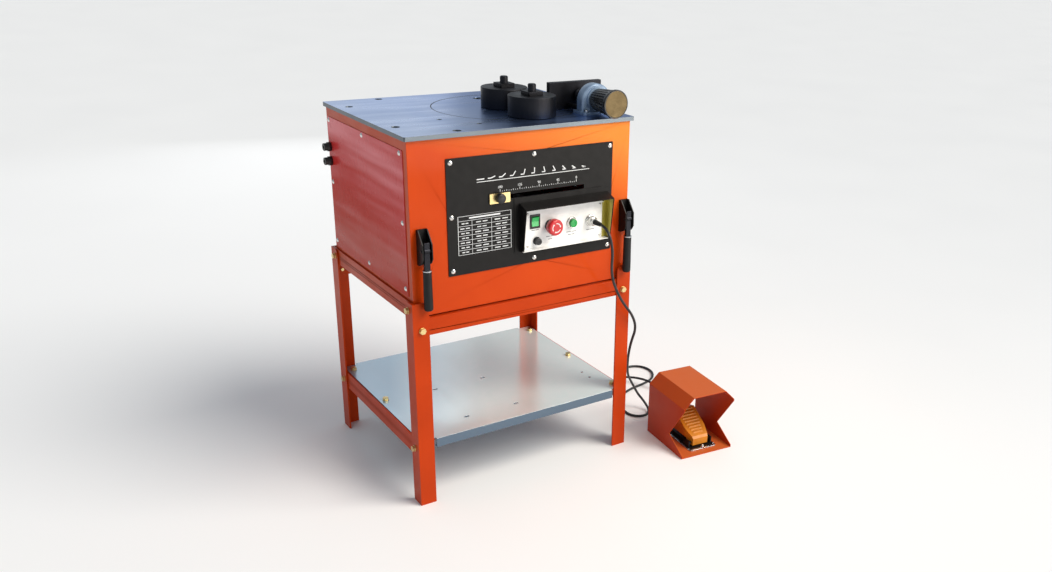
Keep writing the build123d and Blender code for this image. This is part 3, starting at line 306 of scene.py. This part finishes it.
def add_turned(bm, middle, axis, profile, sides=48, flutes=0, depth=0.0):
    """Turns a profile of (distance along the axis, radius, fluted) about an axis, in metres."""
    axis = Vector(axis).normalized()
    side = axis.orthogonal().normalized()
    other = axis.cross(side)
    rings = []
    for along, radius, fluted in profile:
        centre = middle + axis * along
        if radius == 0:
            rings.append([bm.verts.new(centre)])
            continue
        ring = []
        for i in range(sides):
            turn = 2 * pi * i / sides
            groove = depth * max(0.0, cos(flutes * turn)) ** 0.6 if fluted else 0.0
            outwards = side * cos(turn) + other * sin(turn)
            ring.append(bm.verts.new(centre + outwards * (radius - groove)))
        rings.append(ring)
    for first, second in zip(rings, rings[1:]):
        for i in range(sides):
            j = (i + 1) % sides
            corners = [first[i % len(first)], first[j % len(first)], second[j % len(second)],
                       second[i % len(second)]]
            bm.faces.new(list(dict.fromkeys(corners)))
    return bm


def turned(name, middle, axis, profile, body, slot, look, **extra):
    profile = [(p[0], p[1], len(p) > 2) for p in profile]
    return piece(name, add_turned(bmesh.new(), middle, axis, profile, **extra), body, look)


def add_box(bm, low, high):
    corners = [bm.verts.new((x, y, z)) for x in (low[0], high[0]) for y in (low[1], high[1])
               for z in (low[2], high[2])]
    for side in ((0, 1, 3, 2), (4, 6, 7, 5), (0, 4, 5, 1), (2, 3, 7, 6), (0, 2, 6, 4), (1, 5, 7, 3)):
        bm.faces.new([corners[i] for i in side])


def add_prism(bm, outline, start, end):
    """A flat outline of points, moved from start to end."""
    bottom = [bm.verts.new(p + start) for p in outline]
    top = [bm.verts.new(p + end) for p in outline]
    bm.faces.new(bottom)
    bm.faces.new(list(reversed(top)))
    for i in range(len(outline)):
        j = (i + 1) % len(outline)
        bm.faces.new([bottom[i], bottom[j], top[j], top[i]])


def middle_at(node, depth):
    """The middle of a node's box as seen from the front, at a depth of its own."""
    low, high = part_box(node)
    return Vector(((low.x + high.x) / 2, depth, (low.z + high.z) / 2))


# ---- cord -----------------------------------------------------------------------------------------
CORD_POINTS = [
    (0.179, -0.2795, 0.653), (0.179, -0.306, 0.653), (0.178, -0.332, 0.632), (0.184, -0.334, 0.594),
    (0.196, -0.313, 0.55), (0.213, -0.294, 0.511), (0.237, -0.279, 0.47), (0.267, -0.269, 0.426),
    (0.303, -0.263, 0.384), (0.324, -0.253, 0.34), (0.322, -0.2355, 0.294), (0.333, -0.2105, 0.247),
    (0.354, -0.179, 0.198), (0.382, -0.143, 0.148), (0.412, -0.118, 0.11), (0.436, -0.104, 0.078),
    (0.456, -0.096, 0.048), (0.472, -0.104, 0.025), (0.475, -0.127, 0.008), (0.459, -0.15, 0.004),
    (0.43, -0.153, 0.004), (0.409, -0.133, 0.004), (0.406, -0.103, 0.004), (0.418, -0.066, 0.004),
    (0.439, -0.03, 0.004), (0.472, -0.002, 0.004), (0.516, 0.015, 0.004), (0.564, 0.022, 0.004),
    (0.604, 0.034, 0.004), (0.634, 0.06, 0.004), (0.648, 0.098, 0.004), (0.637, 0.136, 0.004),
    (0.604, 0.153, 0.004), (0.568, 0.144, 0.004), (0.543, 0.117, 0.004), (0.536, 0.08, 0.011),
    (0.548, 0.043, 0.022), (0.569, 0.004, 0.022), (0.582, -0.036, 0.011), (0.58, -0.074, 0.004),
    (0.565, -0.112, 0.004), (0.541, -0.148, 0.004), (0.514, -0.182, 0.008), (0.492, -0.212, 0.013),
    (0.4803, -0.24, 0.014), (0.4745, -0.2675, 0.014)]
CORD_LENGTH, CORD_DIAMETER = 1.842, 0.007

route = bpy.data.curves.new("pedal_cord", "CURVE")
route.dimensions = "3D"
route.bevel_depth = CORD_DIAMETER / 2
route.bevel_resolution = 5
route.resolution_u = 10
route.use_fill_caps = True
line = route.splines.new("NURBS")
line.points.add(len(CORD_POINTS) - 1)
for control, place in zip(line.points, CORD_POINTS):
    control.co = (*(Vector(place) + STAND), 1)
line.order_u = 3
line.use_endpoint_u = True
cord_look = plastic("cord_jacket", (0.012, 0.013, 0.015), 0.42, 1600, 0.1)
route.materials.append(cord_look.material)
pedal_cord = bpy.data.objects.new("pedal_cord", route)
bpy.context.scene.collection.objects.link(pedal_cord)
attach(pedal_cord, "machine")
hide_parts("foot_cord")

plug_middle = middle_at("cord_plug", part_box("cord_plug")[1].y)
connector = turned("cord_connector", plug_middle, TOWARDS, [
    (0, 0), (0, 0.0105), (0.0010, 0.0115), (0.0020, 0.0115, 1), (0.0085, 0.0115, 1), (0.0092, 0.0108),
    (0.0100, 0.0094), (0.0105, 0.0088), (0.0150, 0.0086), (0.0160, 0.0078), (0.0160, 0)],
    "machine", "nickel", looks["nickel"], sides=96, flutes=16, depth=0.0007)
relief_profile = [(0.0150, 0), (0.0150, 0.0068)]
for ridge in range(6):
    along, radius = 0.0166 + 0.0040 * ridge, 0.0066 - 0.00032 * ridge
    relief_profile += [(along, radius), (along + 0.0022, radius), (along + 0.0026, radius - 0.0009),
                       (along + 0.0036, radius - 0.0009)]
relief_profile += [(0.0410, 0.0042), (0.0425, 0.0037), (0.0425, 0)]
strain_relief = turned("strain_relief", plug_middle, TOWARDS, relief_profile, "machine", "black_rubber",
                       looks["black_rubber"], sides=40)
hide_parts("cord_plug")
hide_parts("cord_plug")

# ---- carry handles --------------------------------------------------------------------------------
for handle in ("front_left", "front_right", "back_left", "back_right"):
    low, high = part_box("handle_" + handle)
    x, y = (low.x + high.x) / 2, (low.y + high.y) / 2
    body = handle + "_handle"
    bm = bmesh.new()
    add_box(bm, (x - 0.007, y - 0.004, low.z + 0.090), (x + 0.007, y + 0.004, high.z))
    pivot = Vector((x - 0.007, y, low.z + 0.141))
    add_turned(bm, pivot, (1, 0, 0), [(0, 0, 0), (0, 0.0065, 0), (0.014, 0.0065, 0), (0.014, 0, 0)], 32)
    lever = piece("lever_" + handle, bm, body, looks["dark_steel"], 0.0012)
    collar = turned("collar_" + handle, Vector((x, y, low.z + 0.0935)), (0, 0, 1), [
        (0, 0), (0, 0.0098), (0.0008, 0.0104), (0.0026, 0.0104), (0.0034, 0.0092), (0.0034, 0)],
        body, "bright_steel", looks["bright_steel"])
    grip = turned("grip_" + handle, Vector((x, y, low.z)), (0, 0, 1), [
        (0, 0), (0.0002, 0.0060), (0.0012, 0.0085), (0.0036, 0.0101), (0.0070, 0.0105), (0.030, 0.0104),
        (0.060, 0.0100), (0.086, 0.0097), (0.0910, 0.0099), (0.0928, 0.0098), (0.0935, 0.0090),
        (0.0935, 0)], body, "black_rubber", looks["black_rubber"], sides=56)
    for part in (lever, collar, grip):
        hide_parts("handle_" + handle)

# ---- painted shadow: a black ring in the gap around the turntable ---------------------------------
low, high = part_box("turntable_disc")
disc_radius = (high.x - low.x) / 2
turned("turntable_gap_shadow", Vector(((low.x + high.x) / 2, (low.y + high.y) / 2, high.z)), (0, 0, 1), [
    (-0.0022, disc_radius + 0.0001), (0.0001, disc_radius + 0.0001), (0.0001, disc_radius + 0.0022),
    (-0.0022, disc_radius + 0.0022), (-0.0022, disc_radius + 0.0001)], "machine", "black_rubber",
    looks["black_rubber"], sides=160)

# ---- fence knob -----------------------------------------------------------------------------------
low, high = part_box("fence_knob")
knob_middle = middle_at("fence_knob", high.y)
knob_end = high.y - low.y
knob_body = turned("knob_body", knob_middle, TOWARDS, [
    (0, 0), (0, 0.0160), (0.0418, 0.0160), (0.0422, 0.0252), (0.0436, 0.0262), (0.046, 0.0268, 1),
    (0.065, 0.0286, 1), (0.085, 0.0304, 1), (0.106, 0.0323, 1), (0.109, 0.0327), (0.1115, 0.0331),
    (0.1122, 0.0342), (0.1132, 0.0345), (knob_end - 0.0015, 0.0345), (knob_end, 0.0335),
    (knob_end, 0.0317), (knob_end - 0.0012, 0.0311), (knob_end - 0.0012, 0)],
    "knob", "black_plastic", knob_look, sides=196, flutes=28, depth=0.0020)
knob_disc = turned("knob_disc", knob_middle, TOWARDS, [
    (knob_end - 0.0014, 0), (knob_end - 0.0014, 0.0313), (knob_end - 0.0004, 0.0313),
    (knob_end - 0.0001, 0.0309), (knob_end - 0.0001, 0)], "knob", "zinc_gold", brass, sides=96)
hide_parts("fence_knob")
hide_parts("fence_knob")

# ---- panel ----------------------------------------------------------------------------------------
panel_low, panel_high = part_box("control_panel")
plate_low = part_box("face_plate")[0]
FACE = panel_high.y - 0.0015               # the panel's front face


def on_face(x, z):
    """A place on the panel's front face."""
    return Vector((x * 0.001 + STAND.x, FACE, z * 0.001))


rocker = middle_at("rocker_key", FACE)
bm = bmesh.new()
for x0, x1, z0, z1 in ((-0.0135, -0.0098, -0.017, 0.017), (0.0098, 0.0135, -0.017, 0.017),
                       (-0.0099, 0.0099, 0.0127, 0.017), (-0.0099, 0.0099, -0.017, -0.0127)):
    add_box(bm, rocker + Vector((x0, -0.0024, z0)), rocker + Vector((x1, 0.001, z1)))
rocker_frame = piece("rocker_frame", bm, "machine", looks["black_plastic"], 0.0006)

stop = middle_at("estop_head", FACE)
stop_base = turned("stop_base", stop, TOWARDS, [
    (-0.001, 0.008), (-0.001, 0.0150), (0.0030, 0.0150), (0.0036, 0.0140), (0.0070, 0.0135),
    (0.0080, 0.0125), (0.0080, 0.0075), (-0.001, 0.0075)], "machine", "black_plastic",
    looks["black_plastic"])
start = middle_at("start_button", FACE)
start_bezel = turned("start_bezel", start, TOWARDS, [
    (-0.001, 0.0102), (-0.001, 0.0145), (0.0020, 0.0145), (0.0030, 0.0138), (0.0036, 0.0128),
    (0.0080, 0.0122), (0.0090, 0.0116), (0.0088, 0.0104), (-0.001, 0.0102)], "machine", "nickel",
    looks["nickel"], sides=64)
fuse = middle_at("fuse_cap", FACE)
fuse_holder = turned("fuse_holder", fuse, TOWARDS, [
    (-0.001, 0.0055), (-0.001, 0.0100, 1), (0.0030, 0.0100, 1), (0.0040, 0.0090), (0.0040, 0.0055),
    (-0.001, 0.0055)], "machine", "black_plastic", looks["black_plastic"], sides=72, flutes=12,
    depth=0.0006)
socket = turned("panel_socket", middle_at("cord_plug", FACE), TOWARDS, [
    (-0.001, 0), (-0.001, 0.0150), (0.0012, 0.0150), (0.0020, 0.0144), (0.0022, 0.0128),
    (0.0030, 0.0124, 1), (0.0058, 0.0124, 1), (0.0064, 0.0118), (0.0070, 0.0112), (0.0070, 0)],
    "machine", "nickel", looks["nickel"], sides=96, flutes=12, depth=0.0007)
for part in (rocker_frame, stop_base, start_bezel, fuse_holder, socket):
    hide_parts("panel_bezels")

# panel screws, their cross slots drawn as black bars: painted shade in the recesses
PANEL_SCREWS = ((1.5, 691), (207, 691), (1.5, 612), (207, 612))
for index, (x, z) in enumerate(PANEL_SCREWS):
    bm = bmesh.new()
    middle = on_face(x, z)
    add_turned(bm, middle, TOWARDS, [(-0.0004, 0, 0), (-0.0004, 0.0031, 0), (0.0007, 0.0031, 0),
                                     (0.0016, 0.0022, 0), (0.0019, 0.0010, 0), (0.0019, 0, 0)], 28)
    piece("panel_screw_%d" % index, bm, "machine", looks["nickel"])
    bm = bmesh.new()
    for turn in (35, 125):
        arm = Matrix.Rotation(radians(turn + 20 * index), 3, TOWARDS) @ Vector((0.0017, 0, 0))
        across = arm.cross(TOWARDS).normalized() * 0.0003
        add_prism(bm, [middle + arm + across, middle + arm - across, middle - arm - across,
                       middle - arm + across], TOWARDS * 0.0014, TOWARDS * 0.00195)
    piece("screw_slot_shade_%d" % index, bm, "machine", looks["black_plastic"])

# zinc angle inside the hood's right cheek, dark strip inside the left one
hood_low, hood_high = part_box("control_hood")
inner_x = hood_high.x - 0.0016
bm = bmesh.new()
add_box(bm, (inner_x - 0.0125, FACE - 0.0008, panel_low.z + 0.0025),
        (inner_x - 0.0008, FACE + 0.0002, panel_high.z + 0.014))
cheek = [Vector((inner_x - 0.0006, y, z)) for y, z in (
    (FACE, panel_high.z + 0.017), (hood_low.y + 0.0022, panel_high.z + 0.0052),
    (hood_low.y + 0.0150, panel_low.z + 0.0040), (FACE, panel_low.z + 0.0025))]
add_prism(bm, cheek, Vector((0, 0, 0)), Vector((0.0005, 0, 0)))
add_box(bm, (inner_x - 0.0078, FACE - 0.0016, panel_low.z + 0.004),
        (inner_x - 0.0064, FACE - 0.0004, panel_high.z + 0.010))
piece("hood_zinc_angle", bm, "machine", metal("olive_zinc", (0.52, 0.46, 0.13), 0.3),
      0.0002)
turned("hood_zinc_screw", Vector((inner_x - 0.0100, FACE, panel_high.z - 0.006)), TOWARDS, [
    (0, 0), (0, 0.0026), (0.0014, 0.0024), (0.0022, 0.0012), (0.0022, 0)], "machine", "nickel",
    looks["nickel"], sides=24)
bm = bmesh.new()
add_box(bm, (panel_low.x - 0.0002, FACE - 0.0009, panel_low.z + 0.0018),
        (panel_low.x + 0.0115, FACE + 0.0002, panel_high.z + 0.001))
piece("hood_left_flange", bm, "machine", looks["black_sheet"], 0.0002)

# plain bars where the panel has its labels
LABELS = ((22, 650, 20), (64, 629, 24), (64, 622, 12), (124, 632, 30), (124, 625, 20), (179, 630, 24))
bm = bmesh.new()
for x, z, width in LABELS:
    for part in (-1, 1):
        centre = on_face(x + part * width * 0.26, z)
        add_box(bm, centre - Vector((width * 0.00022, 0.00012, 0.0009)),
                centre + Vector((width * 0.00022, 0.0002, 0.0009)))
piece("panel_label_bars", bm, "machine", grey_ink)

# emergency stop: three turning arrows on the head
head_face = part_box("estop_head")[0].y
ARROW_BACK, ARROW_FRONT = Vector((0, head_face + 0.0004, 0)), Vector((0, head_face - 0.00015, 0))
ARROW_TURN, ARROW_STEPS, ARROW_STEP = 120, 12, radians(6.2)
bm = bmesh.new()
for arrow in range(3):
    begin = radians(ARROW_TURN * arrow + 20)
    for step in range(ARROW_STEPS):
        a, b = begin + ARROW_STEP * step, begin + ARROW_STEP * (step + 1)
        outline = [Vector((stop.x + r * cos(t), 0, stop.z + r * sin(t)))
                   for r, t in ((0.0098, a), (0.0118, a), (0.0118, b), (0.0098, b))]
        add_prism(bm, outline, ARROW_FRONT, ARROW_BACK)
    tip, back = begin - radians(18), begin
    outline = [Vector((stop.x + r * cos(t), 0, stop.z + r * sin(t)))
               for r, t in ((0.0108, tip), (0.0134, back), (0.0082, back))]
    add_prism(bm, outline, ARROW_FRONT, ARROW_BACK)
piece("stop_arrows", bm, "stop_head", ink)

# ---- printing on the face plate -------------------------------------------------------------------
INK = Vector((0, 0.00012, 0))
bm = bmesh.new()


def ink_bar(x0, x1, z0, z1):
    """A printed bar on the face plate, in millimetres."""
    add_box(bm, Vector((x0 * 0.001 + STAND.x, plate_low.y, z0 * 0.001)) - INK,
            Vector((x1 * 0.001 + STAND.x, plate_low.y, z1 * 0.001)) + INK)


def ink_stroke(x0, z0, x1, z1, width):
    """A printed stroke between two points, in millimetres."""
    a = Vector((x0 * 0.001 + STAND.x, plate_low.y, z0 * 0.001))
    b = Vector((x1 * 0.001 + STAND.x, plate_low.y, z1 * 0.001))
    across = (b - a).cross(TOWARDS).normalized() * width * 0.0005
    add_prism(bm, [a + across, b + across, b - across, a - across], -INK, INK)


SCALE_X = (137.5, -69.7)                   # where the scale reads 0 and 180 degrees
for degrees in range(0, 181, 5):
    x = SCALE_X[0] + (SCALE_X[1] - SCALE_X[0]) * degrees / 180
    tall = 6.0 if degrees % 45 == 0 else 3.4 if degrees % 15 == 0 else 2.0
    ink_bar(x - 0.55, x + 0.55, 754.5, 754.5 + tall)
for degrees in (0, 45, 90, 135, 180):
    x = SCALE_X[0] + (SCALE_X[1] - SCALE_X[0]) * degrees / 180
    text = bpy.data.curves.new("number", "FONT")
    text.body, text.size, text.align_x, text.extrude = str(degrees), 0.0085, "CENTER", 0.0001
    holder = bpy.data.objects.new("number", text)
    bpy.context.scene.collection.objects.link(holder)
    bpy.context.view_layer.update()
    digits = bpy.data.meshes.new_from_object(holder.evaluated_get(bpy.context.evaluated_depsgraph_get()))
    digits.transform(Matrix.Translation((x * 0.001 + STAND.x, plate_low.y, 0.7625))
                     @ Matrix.Rotation(pi / 2, 4, "X"))
    bm.from_mesh(digits)
    bpy.data.meshes.remove(digits)
    bpy.data.objects.remove(holder)
    bpy.data.curves.remove(text)

# a bar drawn at eleven stages of a bend, over a plain underline
STAGES, STAGE_X, STAGE_STEP, STAGE_Z, STAGE_WIDTH, STAGE_ARM = 11, -121, 28.4, 789, 2.2, 11
for stage in range(STAGES):
    x, bend = STAGE_X + STAGE_STEP * stage, radians(18 * stage)
    ink_stroke(x - 8, STAGE_Z, x + 1, STAGE_Z, STAGE_WIDTH)
    ink_stroke(x + 0.4, STAGE_Z, x + 0.4 + STAGE_ARM * cos(bend),
               STAGE_Z + STAGE_ARM * sin(bend) + bend * 0.9, STAGE_WIDTH)
ink_bar(-129, 174, 782.2, 783.6)

# ruled table with plain bars in its cells
TABLE_X, TABLE_Z = (-178, -143, -93, -42), (617, 628.3, 639.6, 650.9, 662.2, 673.5, 684.8, 697, 708)
for x in (TABLE_X[0], TABLE_X[-1]):
    ink_bar(x - 0.6, x + 0.6, TABLE_Z[0], TABLE_Z[-1])
for x in TABLE_X[1:-1]:
    ink_bar(x - 0.35, x + 0.35, TABLE_Z[0], TABLE_Z[-2])
for z in TABLE_Z:
    ink_bar(TABLE_X[0] - 0.6, TABLE_X[-1] + 0.6, z - 0.4, z + 0.4)
ink_bar(-150, -70, 701, 704.4)
for row, (z0, z1) in enumerate(zip(TABLE_Z[:-2], TABLE_Z[1:-1])):
    for column, (x0, x1) in enumerate(zip(TABLE_X, TABLE_X[1:])):
        middle, half = (x0 + x1) / 2, (x1 - x0) * (0.24 + 0.05 * ((row + column) % 3))
        ink_bar(middle - half, middle - half * 0.15, (z0 + z1) / 2 - 1.1, (z0 + z1) / 2 + 1.1)
        ink_bar(middle + half * 0.15, middle + half, (z0 + z1) / 2 - 1.1, (z0 + z1) / 2 + 1.1)
piece("plate_print", bm, "machine", ink)

# ---- slider ---------------------------------------------------------------------------------------
low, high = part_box("slider_knob")
slider_middle = middle_at("slider_knob", high.y)
reach = high.y - low.y
slider_cap = turned("slider_cap", slider_middle, TOWARDS, [
    (0, 0), (0, 0.0030), (0.0100, 0.0030), (0.0100, 0.0105), (0.0110, 0.0113), (0.0125, 0.0115, 1),
    (reach - 0.0040, 0.0115, 1), (reach - 0.0022, 0.0106), (reach - 0.0010, 0.0080),
    (reach - 0.0002, 0.0040), (reach, 0)], "slider_clamp", "black_plastic", looks["black_plastic"],
    sides=96, flutes=16, depth=0.0008)
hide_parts("slider_knob")
low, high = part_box("slider_plate")
bm = bmesh.new()
add_prism(bm, [Vector((slider_middle.x + dx, low.y, high.z + dz)) for dx, dz in (
    (-0.0035, -0.0002), (0, -0.0058), (0.0035, -0.0002))], -INK, INK)
piece("slider_pointer", bm, "angle_slider", looks["black_plastic"])

# ---- pedal: steel edge and clip in front of the treadle -------------------------------------------
EDGE_Z = (0.0022, 0.0046)                  # the steel edge's under and upper side
PEDAL_CORNER, PEDAL_TURN = spot(377.92, -409.08, 0), Matrix.Rotation(radians(-6.25), 3, "Z")


def in_guard(u, v, z):
    """A place in millimetres from the guard's front left corner."""
    return PEDAL_CORNER + PEDAL_TURN @ (Vector((u, v, z)) * 0.001)


bm = bmesh.new()
for outline in (((45, 22), (123, 22), (127, 27), (127, 33), (41, 33), (41, 27)),
                ((41, 33), (46, 33), (46, 128), (41, 128)),
                ((122, 33), (127, 33), (127, 128), (122, 128))):
    add_prism(bm, [in_guard(u, v, 0) for u, v in outline],
              Vector((0, 0, EDGE_Z[0])), Vector((0, 0, EDGE_Z[1])))
piece("pedal_steel_edge", bm, "machine", looks["bright_steel"], 0.0006)
bm = bmesh.new()
add_turned(bm, in_guard(84, 27, 4), (0, 0, 1), [
    (0, 0, 0), (0, 0.0052, 0), (0.0020, 0.0052, 0), (0.0024, 0.0040, 0), (0.0070, 0.0030, 0),
    (0.0085, 0.0016, 0), (0.0085, 0, 0)], 28)
piece("pedal_steel_clip", bm, "machine", looks["nickel"])

# ---- floor, lights and camera ---------------------------------------------------------------------
FLOOR_SIZE = 40.0
bm = bmesh.new()
corners = [bm.verts.new((x, y, 0)) for x, y in ((-1, -1), (1, -1), (1, 1), (-1, 1))]
for corner in corners:
    corner.co *= FLOOR_SIZE
bm.faces.new(corners)
mesh = bpy.data.meshes.new("floor")
bm.to_mesh(mesh)
bm.free()
floor_look = Look("pale_floor", (0.93, 0.93, 0.93), 0.7)
floor_look.vary(floor_look.noise(1.5, 3), 0.62, 0.78)
mesh.materials.append(floor_look.material)
floor = bpy.data.objects.new("floor", mesh)
bpy.context.scene.collection.objects.link(floor)

world = bpy.data.worlds.new("studio")
world.use_nodes = True
background = next(n for n in world.node_tree.nodes if n.type == "BACKGROUND")
background.inputs["Color"].default_value = (0.86, 0.93, 1.0, 1)
background.inputs["Strength"].default_value = 0.42
bpy.context.scene.world = world


def soft_light(name, place, target, size, height, watts, colour=(1, 1, 1)):
    data = bpy.data.lights.new(name, "AREA")
    data.shape = "RECTANGLE"
    data.size, data.size_y, data.energy, data.color = size, height, watts, colour
    obj = bpy.data.objects.new(name, data)
    obj.location = place
    obj.rotation_euler = (Vector(target) - Vector(place)).to_track_quat("-Z", "Y").to_euler()
    obj.visible_camera = False
    bpy.context.scene.collection.objects.link(obj)


sun = bpy.data.lights.new("key", "SUN")
sun.energy, sun.angle, sun.color = 2.6, radians(38), (1.0, 0.96, 0.90)
key = bpy.data.objects.new("key", sun)
key.rotation_euler = Vector((0.75, -0.95, 1.15)).to_track_quat("Z", "Y").to_euler()
bpy.context.scene.collection.objects.link(key)
soft_light("back_card", (0.75, 3.9, 1.7), (-0.2, 0, 0.9), 1.7, 2.6, 9, (0.94, 0.97, 1.0))
soft_light("warm_wash", (0.35, -0.75, 1.25), (0.10, -0.20, 0.74), 0.8, 0.3, 4, (1.0, 0.86, 0.66))
soft_light("low_strip", (1.35, -2.5, 0.40), (0, -0.2, 0.7), 2.4, 0.5, 16, (1.0, 0.93, 0.84))

CAMERA_PLACE = (-1.2600, -2.13845, 1.3327)
AZIMUTH, ELEVATION, ROLL = radians(-36.761), radians(21.303), radians(2.288)
away = Vector((sin(AZIMUTH) * cos(ELEVATION), -cos(AZIMUTH) * cos(ELEVATION), sin(ELEVATION)))
level = (-away).cross(Vector((0, 0, 1))).normalized()
upward = level.cross(-away)
right = level * cos(ROLL) + upward * sin(ROLL)
up = upward * cos(ROLL) - level * sin(ROLL)
lens = bpy.data.cameras.new("camera")
lens.lens = 33.962
lens.sensor_width = 36
lens.shift_x, lens.shift_y = -0.10547, 0.02649
camera = bpy.data.objects.new("camera", lens)
bpy.context.scene.collection.objects.link(camera)
turned_to = Matrix((right, up, away)).transposed().to_4x4()
camera.matrix_world = Matrix.Translation(CAMERA_PLACE) @ turned_to
bpy.context.scene.camera = camera
bpy.context.scene.view_settings.view_transform = "Standard"
